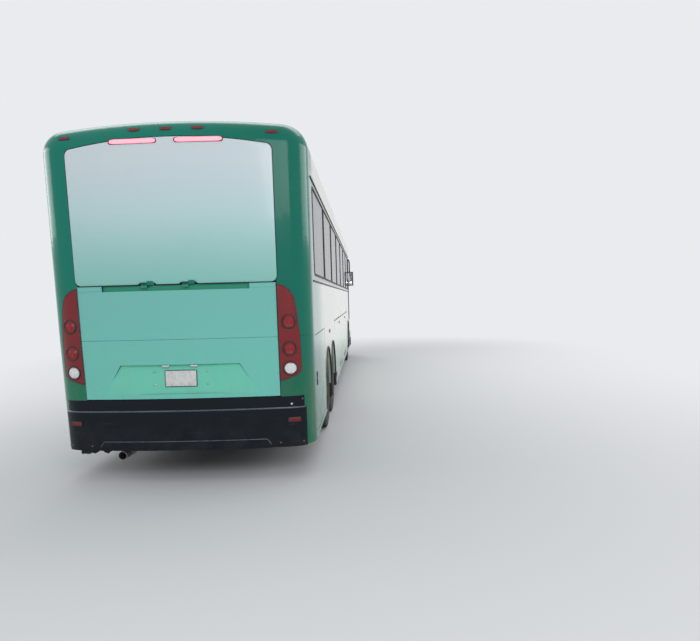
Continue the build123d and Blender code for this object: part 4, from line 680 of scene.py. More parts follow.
# Licence plate, bare, with its holder, screws, the two lamps over it and the door's four bolts
plate = dict(wide=0.305, tall=0.152, z=1.040, recessTop=1.180, recessLow=0.890, deepTop=0.044, deepLow=0.014,
             screws=(0.089, 0.062), boltX=0.265, bolts=(1.107, 0.982), lampX=0.14)
recessSlope = (plate["deepTop"] - plate["deepLow"]) / (plate["recessTop"] - plate["recessLow"])


def recessY(z):  # the hollow's floor runs out straight from its top edge to its bottom edge
    return body["rear"] - plate["deepTop"] + recessSlope * (plate["recessTop"] - z)


def onRecess(x, z, shape):  # turns a shape drawn round the origin to lie on the hollow's floor
    return moved(turned(shape, "x", math.degrees(math.atan(recessSlope))), x, recessY(z), z)


def fourCorners(x, z):
    return [(i * x, j * z) for i in (-1, 1) for j in (-1, 1)]


holder = roundBox((0, 0.003, 0), (plate["wide"] + 0.016, 0.006, plate["tall"] + 0.014), 0.0028, 3)
sheet = roundBox((0, 0.0075, 0), (plate["wide"], 0.003, plate["tall"]), 0.0012, 2)
rim = roundPath(plate["wide"] / 2 - 0.004, plate["tall"] / 2 - 0.004, 0.012)
raised = carried(laid(rim, "y", 0.009), ringProfile(0.0016), (0, 1, 0))
holder, sheet, raised = (onRecess(0, plate["z"], s) for s in (holder, sheet, raised))
screw = spun(mm(0, 12.2,  3, 12,  5.5, 10.5,  6, 9,  6, 6,  0, 6), "y", n=16)
bolt = spun(mm(0, 7,  6, 6.5,  9.5, 4,  10.5, 0,  0, -2), "y", n=20)
screws = [onRecess(x, plate["z"] + z, screw) for x, z in fourCorners(*plate["screws"])]
screws += [onRecess(side * plate["boltX"], z, bolt) for side in (-1, 1) for z in plate["bolts"]]
lampY = recessY(1.165) + 0.018
plateLamps, plateGlass = ([roundBox((side * plate["lampX"], lampY, z), size, r, n) for side in (-1, 1)]
                          for z, size, r, n in ((1.166, (0.070, 0.034, 0.020), 0.006, 3),
                                                (1.1555, (0.050, 0.022, 0.006), 0.0028, 2)))
putPiece("licence_plate", [[sheet, raised], [holder], screws, plateLamps, plateGlass], "engine_hatch",
         [plateWhite, blackPlastic, steel, chrome, clearLens])

# Cover tabs at both ends of the slot over the engine door
tabs = []
for side in (1, -1):
    x, z = np.meshgrid(side * np.linspace(0.724, 0.958, 12), [1.900, 1.902, 1.936, 1.938], indexing="ij")
    tabs.append(grid(xyz(x, rearY(x, z) + [-0.004, 0.004, 0.004, -0.004], z)))
putPiece("engine_door_tabs", tabs, "engine_hatch", doorPaint)

# Brake bars: glass tubes of light over the upper panel
barLamps = dict(middle=0.310, half=0.226, z=3.265, tall=0.042, deep=0.007)
bars = []
for side in (1, -1):
    t = np.linspace(-1, 1, 40)[:, None]
    x = side * barLamps["middle"] + barLamps["half"] * t
    taper = np.sqrt(np.clip(1 - np.abs(t) ** 12, 0, 1))
    a = np.linspace(0, 2 * math.pi, 14, endpoint=False)
    bars.append(grid(xyz(x, rearY(x, barLamps["z"]) + 0.006 + barLamps["deep"] * taper * np.cos(a),
                         barLamps["z"] + barLamps["tall"] / 2 * taper * np.sin(a)), roundV=True))
putPiece("brake_bars", bars, "body", glowRed)
print("rear pieces made")


# Side windows: black rubber seals round every pane
windows = dict(low=2.030, high=2.930, corner=0.060, front=-5.410, rear=6.330, count=7, pillar=0.070)
pane = (windows["rear"] - windows["front"] - (windows["count"] - 1) * windows["pillar"]) / windows["count"]
paneStarts = [windows["front"] + i * (pane + windows["pillar"]) for i in range(windows["count"])]
# the driver's, and the one over the entrance
frontPane = dict(front=-6.250, rear=-5.520, low={1: 1.760, -1: 2.500})
sealProfile = mm(3.5, -16,  5, -10,  5, 4,  2.2, 10,  -4, 11,  -6, -16)


def sideLoop(y0, y1, z0, z1, corner, x, n=6):  # a round-cornered path on a side at distance x from the middle
    return laid(roundPath((y1 - y0) / 2, (z1 - z0) / 2, corner, n) + [(y0 + y1) / 2, (z0 + z1) / 2], "x", x)


def sideBead(profile, *place, out=(1, 0, 0.0001), **more):
    return carried(sideLoop(*place, **more), profile, out)


seals = []
for side in (1, -1):
    loops = [(y, y + pane, windows["low"]) for y in paneStarts]
    loops.append((frontPane["front"], frontPane["rear"], frontPane["low"][side]))
    seals += flipped([sideBead(sealProfile, *loop, windows["high"], windows["corner"], body["half"])
                      for loop in loops], side)
putPiece("window_seals", seals, "body", rubber)

# Drip rail over the windows, and a belt trim under them from behind the driver's window and the entrance
railTable = ((-6.28, 2.995, mm(0, -10,  6, -8,  10, 2,  8, 10,  4, 8,  3, 0,  -4, -4)),
             (-5.495, 1.962, mm(0, -12,  5, -9,  6, 0,  5, 9,  0, 12,  -4, 0)))
rails = [mirrored(swept(xyz(body["half"], np.linspace(front, 6.50, 60), z), profile, (1, 0, 0)), side)
         for side in (1, -1) for front, z, profile in railTable]
putPiece("side_rails", rails, "body", blackPlastic)

# Rubber lips round the wheel arches: a half circle carried along, with upright ends
arches = dict(front=0.607, drive=0.577, tag=0.577)
lipProfile = mm(-10, -4,  9, -4,  12, 0,  11, 8,  4, 13,  -10, 10)
lips = []
for side in (1, -1):
    for place, radius in arches.items():
        low = math.asin(-0.19 / (radius - 0.002))
        t = np.linspace(low, math.pi - low, 60)
        path = xyz(body["half"], axles[place] + radius * np.cos(t), tyre["radius"] + radius * np.sin(t))
        lips.append(mirrored(swept(path, lipProfile, (1, 0, 0)), side))
putPiece("arch_lips", lips, "body", rubber)


# Baggage and service doors: recessed paddle latches and a rubber edge all round
doorTable = [(f"baggage_{name}_{i + 1}", side, -4.145 + 2.26 * i, -1.905 + 2.26 * i, 0.345, 1.400)
             for name, side in sides for i in range(3)]
doorTable += [(f"service_{name}", side, 5.135, 6.537, 0.400, 1.400) for name, side in sides]
latch = dict(inset=0.30, above=0.13, serviceInset=0.10, serviceZ=0.94)


def paddleLatch(y, z):  # dished round-cornered plate, the flap that hangs in it, and a lock
    x = body["half"]
    bezel = sideBead(mm(0, -4,  4, -2,  4, 4,  0, 7,  -3, 0), y - 0.066, y + 0.066, z - 0.036, z + 0.036,
                     0.014, x + 0.001, n=5)
    u, v = field(12, 8)
    dish = grid(xyz(x + 0.0022, y + 0.062 * u, z + 0.032 * v))
    flap = roundBox((x + 0.004, y, z + 0.006), (0.006, 0.100, 0.036), 0.0025, 3)
    lock = spun(mm(0, 4.5,  6, 4.5,  7.5, 3,  7.5, -2,  0, -2), "x", (x + 0.0035, y, z - 0.021), 16)
    return [bezel, dish], [flap], [lock]


for rides, side, y0, y1, z0, z1 in doorTable:
    if rides.startswith("baggage"):
        places = [(y, z0 + latch["above"]) for y in (y0 + latch["inset"], y1 - latch["inset"])]
        parts = [paddleLatch(*p) for p in places]
    else:
        place = (y1 - latch["serviceInset"], latch["serviceZ"])
        parts = [[[turned(s, "x", 90, (0, *place)) for s in g] for g in paddleLatch(*place)]]
    dark, bright, locks = (sum(group, []) for group in zip(*parts))
    dark.append(sideBead(mm(0, -4,  3, -2,  3, 1,  0, 2,  -4, -1), y0 + 0.002, y1 - 0.002, z0 + 0.002,
                         z1 - 0.002, 0.024, body["half"] - 0.004))
    putPiece(rides + "_latches", [flipped(g, side) for g in (dark, bright, locks)], rides,
             [rubber, blackPlastic, chrome])

# Amber side lamps, in shallow black shells
sideLamps = ((4.000, "body"), (0.860, "baggage_{}_3"), (-2.240, "baggage_{}_1"))
for name, side in sides:
    for y, rides in sideLamps:
        shell = sideBead(mm(0, -4,  6, -3,  7, 1,  0, 4), y - 0.055, y + 0.055, 1.295, 1.335, 0.014,
                         body["half"] + 0.001)
        u, v = field(21, 9)
        crown = (1 - np.abs(u) ** 6) * (1 - np.abs(v) ** 4)
        lens = grid(xyz(body["half"] + 0.0082 + 0.005 * crown, y + 0.049 * u, 1.315 + 0.0145 * v))
        putPiece(f"side_lamp_{name}_{int(y * 10 + 50)}", [[mirrored(lens, side)], [mirrored(shell, side)]],
                 rides.format(name), [amberLens, rubber])
print("side pieces made")


# Tyres: a section carried round the axle, with ribs, shoulder blocks and raised bands on the side walls
treads = dict(grooves=(-0.085, -0.030, 0.030, 0.085), grooveWide=0.0075, grooveDeep=0.012, blocks=72,
              blockDeep=0.006, sections=360, twin=0.1725)


def tyreSection(p, t):  # points (distance from the axle, place across) from one bead to the other
    w, r, rim = t["width"] / 2, t["radius"], t["rim"]
    across = np.array([45, 22, 10, 3, 0.5, 0.5, 4, 4, 2, 6, 12, 18, 22]) / 1000 - w
    wall = np.concatenate([rim + np.array([-8, -4, 10, 45, 85, 110, 112, 145, 150]) / 1000,
                           r - np.array([60, 32, 14, 6]) / 1000])
    x = np.linspace(-w + 0.030, w - 0.030, 61)
    crown = r - 0.005 * (x / (w - 0.03)) ** 2
    for g in p["grooves"]:
        crown = crown - p["grooveDeep"] * np.clip(1.6 - np.abs(x - g) / (p["grooveWide"] / 2), 0, 1)
    return (np.concatenate([wall, crown, wall[::-1]])[:, None],
            np.concatenate([across, x, -across[::-1]])[:, None])


def tyreShape(middleX, y, p, t):
    radius, across = tyreSection(p, t)
    u = np.linspace(0, 2 * math.pi, p["sections"], endpoint=False)
    shoulder = (np.abs(across) > t["width"] / 2 - 0.052) * (radius > t["radius"] - 0.034)
    notch = np.sin(u * p["blocks"]) > 0.45
    sipe = (np.abs(across) < 0.10) * (np.sin(u * p["blocks"] * 2 + np.sign(across) * 0.9) > 0.93)
    r = radius - p["blockDeep"] * shoulder * notch - 0.003 * sipe
    return grid(xyz(across + middleX, y + r * np.cos(u), t["radius"] + r * np.sin(u)), roundV=True)


def makeTyreRubber():
    f = Finish("tyre_finish")
    dust = f.noise(6, 5, 0.7).rise(0.35, 0.8)
    up = f.noise(70, 3).rise(0.5, 0.8)
    f.set(baseColor=f.mix(dust * 0.6 + up * 0.1, (0.016, 0.016, 0.017), (0.085, 0.078, 0.068)),
          roughness=0.70 + dust * 0.2, normal=f.bump(f.noise(320, 3), 0.25, 0.0008))
    return f


tyreRubber = makeTyreRubber()
for name, side in sides:
    for place in axles:
        twins = (-treads["twin"], treads["twin"]) if place == "drive" else (0.0,)
        shapes = [tyreShape(side * (wheelX[place] + t), axles[place], treads, tyre) for t in twins]
        t = putPiece(f"tread_{place}_{name}", shapes, f"{place}_wheel_{name}", tyreRubber, 30)
        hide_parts(f"tyre_{place}_{name}")

# Wheel nuts with washers, a hub cover with its bolts, and a valve
nuts = dict(count=10, circle=0.1675, flat=0.0195, long=0.034, stud=0.009)
hubBolts = dict(count=8, circle=0.066, flat=0.0075, long=0.006, stud=0.003)
# x of the disc and of the hub's face
hubs = dict(front=(1.204, 1.245), tag=(1.204, 1.245), drive=(0.9575, 1.1575))


def nutRing(x, y, p):  # each nut: washer, six flats with a broken top edge, and the stud's end
    flat, long, stud = p["flat"], p["long"], p["stud"]
    rings = [(0.0, -0.003), (flat * 1.32, -0.003), (flat * 1.32, long * 0.10), (flat, long * 0.14),
             (flat, long * 0.88), (flat * 0.86, long), (stud, long), (stud, long + stud * 0.9),
             (0.0, long + stud)]
    nut = spun(rings, "x", n=6)
    around = np.arange(p["count"]) * 2 * math.pi / p["count"]
    return [moved(nut, x, y + p["circle"] * math.cos(a), tyre["radius"] + p["circle"] * math.sin(a))
            for a in around]


hubProfile = mm(0, 6.5,  30, 6.5,  36, 3.5,  52, 3,  56, 4.5,  76, 4.5,  79.5, 2,  79.5, -6,  0, -6)
for name, side in sides:
    for place, (disc, face) in hubs.items():
        y, z = axles[place], tyre["radius"]
        studs = nutRing(disc, y, nuts) + nutRing(face + 0.0035, y, hubBolts)
        cover = spun(hubProfile, "x", (face, y, z), 48)
        valve = rod([(disc + a, y + b, z) for a, b in mm(-20, 235,  20, 231,  40, 222)], 0.0045, 12)
        putPiece(f"nuts_{place}_{name}", [flipped(g, side) for g in (studs, [cover], [valve])],
                 f"{place}_wheel_{name}", [chrome, alloy, rubber], 30)

# Mud flaps behind the front and the last wheels: rubber sheets with four upright ribs, and a steel strip
flaps = ((-4.178, 0.96, 1.262, 0.150, 0.500), (5.082, 0.90, 1.262, 0.150, 0.500))


def foldedSheet(front, back):  # two faces of a thin sheet, joined along all their edges
    return grid(np.concatenate([front, back[:, ::-1]], axis=1), roundV=True)


def flapShape(y, x0, x1, z0, z1):  # y is a slow bow along the height plus a fold under each rib
    u, v = field(61, 21, 0, 0)
    ribs = np.clip(1 - np.abs((u * 4) % 1 - 0.5) / 0.06, 0, 1) * 0.004
    bow = 0.018 * (1 - v) ** 2 + 0.004 * np.sin(5 * u) * (1 - v)
    front = xyz(x0 + (x1 - x0) * u, y + bow - 0.003 - ribs, z0 + (z1 - z0) * v)
    return foldedSheet(front, front + xyz(0, 0.006 + 2 * ribs, 0))


for name, side in sides:
    clamps = []
    for y, x0, x1, z0, z1 in flaps:
        clamps.append(roundBox(((x0 + x1) / 2, y - 0.006, z1 - 0.012), (x1 - x0 - 0.01, 0.004, 0.030),
                               0.0015, 2))
        clamps += [spun(mm(0, -5,  7, -4,  8, 0,  0, 1), "y", (x0 + (x1 - x0) * s, y - 0.008, z1 - 0.012), 12)
                   for s in (0.12, 0.5, 0.88)]
    putPiece("mud_flaps_" + name, [flipped([flapShape(*f) for f in flaps], side), flipped(clamps, side)],
             "body", [rubber, steel])
print("wheel pieces made")


# Rear bumper: a ledge strip, red reflectors in frames, a plug, a lower lip and the screws of its corners
bumperRear = dict(out=0.012, ledge=0.725, reflector=(1.100, 0.600), lip=0.412, lipHalf=0.82, lipEnd=0.875,
                  plug=(-1.075, 0.757), caps=((1.18, 0.800, -0.012), (1.18, 0.37, 0.0), (0.955, 0.37, 0.0)))


def bumperY(x):
    return rearPlan(x, bumperRear["out"])


def onBumper(shape, x, z, out=0.0):  # lays a shape drawn at the origin (facing the rear) on the curved bumper
    return onRear(shape, x, z, lambda x, z: bumperY(x) + out)


x = np.linspace(-1.205, 1.205, 121)
ledge = swept(xyz(x, bumperY(x), bumperRear["ledge"]),
              mm(-13, -12,  1, -12,  2.6, -8,  2.6, -2,  0, 2.2,  -13, 3.5), (0, 1, 0))
x = np.linspace(-1.0, 1.0, 101)
x = x[np.abs(x) <= bumperRear["lipEnd"]]
z = np.interp(np.abs(x), [0, bumperRear["lipHalf"], 0.872], [bumperRear["lip"], bumperRear["lip"], 0.345])
lipEdge = swept(xyz(x, bumperY(x) + 0.0005, z), ringProfile(0.0075, 10), (0, 1, 0.02))
edging = carried(laid(roundPath(0.062, 0.021, 0.009), "y", 0), mm(6, -3,  7, 3,  0, 6,  -4, 3,  -4, -4),
                 (0, 1, 0.001))
u, v = field(25, 9)
red = grid(xyz(0.059 * u, 0.0035 + 0.002 * (1 - u ** 4) * (1 - v ** 4), 0.018 * v))
reflectorX, reflectorZ = bumperRear["reflector"]
edgings, reds = ([onBumper(s, side * reflectorX, reflectorZ) for side in (1, -1)] for s in (edging, red))
plug = onBumper(spun(mm(0, 5,  7, 4.5,  11, 2,  12, -2,  0, -4), "y", n=20), *bumperRear["plug"],
                -bumperRear["out"])
cap = spun(mm(0, 3.5,  6, 3,  9, 1,  9, -3,  0, -3), "y", n=16)
caps = [onBumper(cap, side * a, b, c) for side in (1, -1) for a, b, c in bumperRear["caps"]]


def makeLedgeHighlight():  # a satin strip in a lighter bluish grey than the bumper: a painted highlight, with worn patches
    f = Finish("bumper_ledge", specular=0.6, coatRoughness=0.1)
    rub = f.noise(8, 5, 0.7, (1, 1, 3)).rise(0.4, 0.7)
    f.set(baseColor=f.mix(rub * 0.6, (0.030, 0.052, 0.085), (0.085, 0.100, 0.115)),
          roughness=0.24 + rub * 0.3, coat=0.5, normal=f.bump(f.noise(400, 2), 0.15, 0.0005))
    return f


# the ledge and the lip edge take the lighter strip finish, a painted highlight
putPiece("rear_bumper_trim", [[ledge, lipEdge], edgings, reds, [plug], caps], "body",
         [makeLedgeHighlight(), blackPlastic, redLens, whitePlastic, iron])

# A ragged splash flap and a bracket end under the rear's left corner, and the exhaust's clamp and rolled end
splash = dict(x0=0.800, x1=1.150, low=0.272, high=0.345, y=6.800, ragged=0.007)
tailPipe = dict(x=0.64, z=0.274, end=6.892, clamp=6.81)
rag = np.random.default_rng(5)
u, v = field(41, 9, 0, 0)
low = (splash["low"] + 0.016 * np.sin(u * 17 + 1) - 0.035 * np.exp(-((u - 0.78) / 0.10) ** 2)
       + splash["ragged"] * rag.uniform(-1, 1, 41)[:, None])
face = xyz(splash["x0"] + (splash["x1"] - splash["x0"]) * u,
           splash["y"] + 0.03 * (1 - v) + 0.004 * np.sin(7 * u), low + (splash["high"] - low) * v)
hook = rod([(1.02, 6.50, 0.40), (1.02, 6.70, 0.36), (1.02, 6.80, 0.318), (1.04, 6.86, 0.300)], 0.014, 10)
tipProfile = mm(40.5, -4,  47.5, -4,  49, 0,  47.5, 4,  40.5, 3,  39.5, -50,  38.5, -50)
clampProfile = mm(45.5, -13,  49, -12,  49, 12,  45.5, 13)
pipeParts = [spun(profile, "y", (tailPipe["x"], y, tailPipe["z"]), 40)
             for profile, y in ((tipProfile, tailPipe["end"]), (clampProfile, tailPipe["clamp"]))]
hangerX = tailPipe["x"] + 0.048
pipeParts.append(rod([(hangerX, tailPipe["clamp"], z) for z in (0.294, 0.36)], 0.006, 8))
putPiece("rear_underside_bits", [foldedSheet(face, face + [0, 0.007, 0]), hook, pipeParts], "body",
         [rubber, chassis, steel])
print("bumper pieces made")


# Front: the screen's and the sign's rubber, laid on the skin with the bumper's two bands standing out of it
front = dict(screenLow=1.470, screenHigh=2.800, screenHalf=1.150, signLow=2.870, signHigh=3.130,
             signHalf=0.780)


def faceY(x, z):
    return np.where(z < 0.76, frontPlan(x, np.where(z < 0.56, 0.025, 0.012)), frontY(x, z))


def onFront(shape, x, z, out=0.0):  # lays a shape drawn at the origin, facing -Y, on the front skin
    near = np.array([abs(x), z])
    slope, tip = ((faceY(*(near + d)) - faceY(*(near - d))) / sum(2 * d)
                  for d in np.array([[0.01, 0], [0, 0.02]]))
    slope = slope * np.sign(x)
    return moved(turned(turned(shape, "x", -math.degrees(math.atan(tip))), "z",
                        math.degrees(math.atan(slope))), x, faceY(*near) - out, z)


def frontLoop(x0, x1, z0, z1, corner, n=8, fine=24):
    # four straight runs with a corner after each, anticlockwise
    arc = math.pi / 2 * np.linspace(0, 1, n)[1:]
    s, c = corner * np.sin(arc), corner * np.cos(arc)
    a0, a1, b0, b1 = x0 + corner, x1 - corner, z0 + corner, z1 - corner
    run = lambda a, b: np.linspace(a, b, fine, endpoint=False)
    parts = [(run(a0, a1), z0), (a1 + s, b0 - c), (x1, run(b0, b1)), (a1 + c, b1 + s),
             (run(a1, a0), z1), (a0 - s, b1 + c), (x0, run(b1, b0)), (a0 - c, b0 - s)]
    return np.concatenate([np.stack(np.broadcast_arrays(*p), 1) for p in parts])


def frontBead(loop, profile):
    return carried(laid(loop, "y", frontY(*loop.T)), profile, (0, -1, 0.0001))


screenProfile = mm(5, -14,  7.5, -6,  7.5, 4,  4, 12,  -4, 12,  -4, -14)
openings = [(x0, x1, front["screenLow"], front["screenHigh"], 0.07)
            for x0, x1 in ((0.025, front["screenHalf"]), (-front["screenHalf"], -0.025))]
openings.append((-front["signHalf"], front["signHalf"], front["signLow"], front["signHigh"], 0.05))
putPiece("screen_seals", [frontBead(frontLoop(*o), screenProfile) for o in openings], "body",
         rubber)

# Wipers: a cranked arm from a pivot, a bowed yoke and a long blade lying along the glass
wiper = dict(pivotX=0.36, pivotZ=1.405, tipX=0.80, tipZ=1.700, bladeHalf=0.44)
arms, blades, spindles = [], [], []
for side in (1, -1):
    pivotX, tipX = side * wiper["pivotX"], side * wiper["tipX"]
    spindle = spun(mm(0, -30,  10, -30,  14, -22,  20, -18,  22, 0,  0, 4), "y", n=20)
    spindles.append(onFront(spindle, pivotX, wiper["pivotZ"]))
    t = np.linspace(0, 1, 14)
    x, z = pivotX + (tipX - pivotX) * t, wiper["pivotZ"] + (wiper["tipZ"] - wiper["pivotZ"]) * t
    arms.append(swept(xyz(x, frontY(x, z) - 0.026 - 0.016 * np.sin(math.pi * t), z),
                      mm(-4, -11,  4, -9,  4, 9,  -4, 11), (0, -1, 0)))
    t = np.linspace(-1, 1, 25)
    x, z = tipX + side * 0.05 * t, wiper["tipZ"] + wiper["bladeHalf"] * t
    y = frontY(x, z)
    arms.append(swept(xyz(x, y - 0.020 - 0.010 * (1 - t ** 2), z), ringProfile(0.0050), (0, -1, 0)))
    blades.append(swept(xyz(x, y - 0.012, z), mm(-7.5, -1,  4, -4,  6, 0,  4, 4,  -7.5, 1), (0, -1, 0)))
putPiece("wipers", [arms, blades, spindles], "body", [blackPlastic, rubber, chrome])

# Headlamps: two round reflectors with bulbs and an amber turn lamp behind the clear face, in a black frame
headlamp = dict(z=0.965, bowls=(0.800, 0.955), turnX=1.072, sunk=0.0035)
bowl = spun(mm(66, 0,  62, -4,  52, 12,  34, 24,  14, 29,  0, 29), "y", n=36)
bulb = spun(mm(0, -2,  10, 0,  15, 10,  15, 26,  0, 27), "y", n=20)
u, v = field(17, 17)
turn = grid(xyz(0.038 * u, -0.003 - 0.004 * (1 - u ** 4) * (1 - v ** 4), 0.085 * v))
inLamp = lambda shape, places: [onFront(shape, side * x, headlamp["z"], headlamp["sunk"])
                                for side in (1, -1) for x in places]
loop = frontLoop(0.698, 1.132, 0.848, 1.082, 0.045)
lampFrames = [frontBead(l, mm(4, -10,  7, -4,  7, 4,  3, 10,  -5, 8,  -5, -9))
              for l in (loop, (loop * [-1, 1])[::-1])]
putPiece("headlamp_bowls", [inLamp(bowl, headlamp["bowls"]), inLamp(bulb, headlamp["bowls"]),
                            inLamp(turn, [headlamp["turnX"]]), lampFrames], "body",
         [chrome, domeClear, amberLens, blackPlastic])

# Grille between the lamps
grille = dict(z=0.965, halfZ=0.108, halfX=0.625, first=0.880, pitch=0.034, count=6)
x = np.linspace(-0.60, 0.60, 61)
slats = [swept(xyz(x, frontY(x, z) - 0.004, z), mm(-8, -10,  6, -8,  10, 1,  6, 7,  -8, 4), (0, -1, 0))
         for z in grille["first"] + grille["pitch"] * np.arange(grille["count"])]
grilleFrame = frontBead(frontLoop(-0.630, 0.630, 0.852, 1.078, 0.04),
                        mm(3, -10,  8, -4,  8, 5,  3, 10,  -5, 8,  -5, -9))
u, v = field(61, 13)
x, z = grille["halfX"] * u, grille["z"] + grille["halfZ"] * v
backing = grid(xyz(x, frontY(x, z) - 0.0015, z))
putPiece("front_grille", [slats, grilleFrame, backing], "body",
         [chrome, blackPlastic, rubber])

# In the front bumper: fog lamps, towing covers and a bare plate with its screws
frontFit = dict(z=0.66, fogX=0.86, towX=0.55, screws=(0.089, 0.062))
fogRing = spun(mm(60, 4,  60, -30,  54, -34,  48, -30,  46, 4), "y", n=36)
steps = np.linspace(0.047, 0.0, 18)
fogGlass = spun(np.stack([steps, -0.027 - 0.006 * (1 - (steps / 0.047) ** 2)], 1), "y", n=36)
towCover = roundBox((0, -0.028, 0), (0.075, 0.010, 0.075), 0.004, 3)
rings, glasses, covers = ([onFront(shape, side * frontFit[x], frontFit["z"]) for side in (1, -1)]
                          for shape, x in ((fogRing, "fogX"), (fogGlass, "fogX"), (towCover, "towX")))
inMiddle = lambda shape: onFront(shape, 0, frontFit["z"])
holder, sheet = (inMiddle(roundBox((0, y, 0), size, r, n)) for y, size, r, n in
                 ((-0.027, (0.321, 0.010, 0.166), 0.004, 3), (-0.034, (0.305, 0.004, 0.152), 0.0016, 2)))
screwProfile = mm(0, -39.5,  4, -39,  6, -37,  6, -34,  0, -34)
frontScrews = [inMiddle(spun(screwProfile, "y", (x, 0, z), 16)) for x, z in fourCorners(*frontFit["screws"])]
putPiece("front_bumper_fittings", [rings, glasses, covers + [holder], sheet, frontScrews], "body",
         [blackPlastic, domeClear, blackPlastic, plateWhite, steel])
print("front pieces made")


# Seats: padded cushions and backs in rows, made once, puffed by a short cloth run and set down in every place
rows = dict(count=14, first=-4.88, pitch=0.815, floor=1.474, middle=0.75, spacing=0.222)
cushion = dict(halfA=0.212, halfB=0.186, corner=0.055, low=0.345, high=0.418, crown=0.020, pull=0.010)
backrest = dict(halfA=0.212, halfB=0.335, corner=0.085, low=-0.020, high=0.036, crown=0.012, pull=0.006)
rowY = [rows["first"] + rows["pitch"] * i for i in range(rows["count"])]


def padForm(p, around=72, rings=11):
    # rings of a round-cornered outline: in on the underside, up a slightly drawn-in side, and in over a crown
    edge = roundPath(p["halfA"], p["halfB"], p["corner"], around // 4)
    inward = np.linspace(0.0, 1.0, rings) ** 0.8
    side = np.linspace(0, 1, 7)
    scale = np.concatenate([inward * 0.94, 0.965 + 0.035 * np.sin(math.pi * side) ** 0.5,
                            (inward * 0.94)[::-1]])
    height = np.concatenate([np.full(rings, p["low"]),
                             p["low"] + 0.006 + (p["high"] - p["low"] - 0.012) * side,
                             p["high"] + p["crown"] * (1 - inward[::-1] ** 2.2)])[:, None]
    corner = (np.abs(edge[:, 0]) / p["halfA"] * np.abs(edge[:, 1]) / p["halfB"]) ** 2
    pull = np.zeros((len(scale), 1))
    pull[rings:rings + 7, 0] = p["pull"] * np.sin(math.pi * side)
    shrink = scale[:, None] * (1 - pull * (1 - corner) / p["halfA"])
    return xyz(shrink * edge[:, 0], shrink * edge[:, 1], height)


def puffed(points, name, most, pressure=4.0, frames=20):
    # Blender's cloth with pressure on a closed grid, its underside held; no point moves further than most
    p, faces = grid(points, roundV=True)
    mesh = bpy.data.meshes.new(name)
    mesh.from_pydata(p.tolist(), [], faces.tolist())
    pad = bpy.data.objects.new(name, mesh)
    scene.collection.objects.link(pad)
    b = bmesh.new()
    b.from_mesh(mesh)
    bmesh.ops.recalc_face_normals(b, faces=b.faces)
    b.to_mesh(mesh)
    b.free()
    held = pad.vertex_groups.new(name="held")
    held.add(np.nonzero(p[:, 2] < p[:, 2].min() + 0.004)[0].tolist(), 1.0, "REPLACE")
    cloth = pad.modifiers.new("cloth", "CLOTH").settings
    cloth.use_pressure, cloth.uniform_pressure_force = True, pressure
    cloth.vertex_group_mass = "held"
    cloth.effector_weights.gravity = 0.0
    cloth.tension_stiffness = cloth.compression_stiffness = 20.0
    for step in range(1, frames + 1):
        scene.frame_set(step)
    solved = pad.evaluated_get(bpy.context.evaluated_depsgraph_get()).to_mesh()
    q = np.empty(len(p) * 3)
    solved.vertices.foreach_get("co", q)
    move = q.reshape(-1, 3) - p
    far = np.linalg.norm(move, axis=1, keepdims=True)
    move = move * np.minimum(1, most / np.maximum(far, 1e-9))
    scene.frame_set(1)
    bpy.data.objects.remove(pad)
    return (p + np.nan_to_num(move)).reshape(points.shape)


def grooved(points, *lines):
    # every line is (the points' distance from the seam, depth, half width), a channel in the upper face
    out = points.copy()
    top = points[..., 2] > np.median(points[..., 2])
    for away, depth, width in lines:
        out[..., 2] -= top * depth * np.exp(-(away(np.abs(points[..., 0]), points[..., 1]) / width) ** 2)
    return out


def bulge(y, middle, width):
    return np.exp(-((y - middle) / width) ** 2)


seatPad = grooved(puffed(padForm(cushion), "cushion_form", 0.008),
                  (lambda x, y: x - 0.125, 0.007, 0.007), (lambda x, y: y + 0.105, 0.008, 0.008),
                  (lambda x, y: np.where(x < 0.125, np.abs(y - 0.035) - 0.035, 9), 0.004, 0.006))
seatPad[..., 2] += 0.008 * np.clip(np.abs(seatPad[..., 0]) / 0.17 - 0.7, 0, 1) * (seatPad[..., 2] > 0.40)

backPad = padForm(backrest, 84, 12)
x, y, z = np.moveaxis(backPad, -1, 0)
wings = np.clip((np.abs(x) - 0.125) / 0.07, 0, 1)
z += (z > 0.02) * (0.026 * wings * wings * (3 - 2 * wings) + 0.014 * bulge(y, -0.17, 0.10)
                   + 0.016 * bulge(y, 0.235, 0.065))
backPad = grooved(puffed(backPad, "backrest_form", 0.007),
                  (lambda x, y: x - 0.128, 0.008, 0.007), (lambda x, y: y - 0.150, 0.009, 0.008),
                  (lambda x, y: np.where(x < 0.128, np.abs(y + 0.06) - 0.062, 9), 0.004, 0.006))


def leant(points, low, foot, degrees, up=0.335):
    # from a lying form (x, along, out) to a leaning one: along goes up, out goes forward
    t = math.radians(degrees)
    along, away = points[..., 1] + up, points[..., 2]
    y, z = foot + along * math.sin(t) - away * math.cos(t), low + along * math.cos(t) + away * math.sin(t)
    return grid(xyz(points[..., 0], y, z), roundV=True)


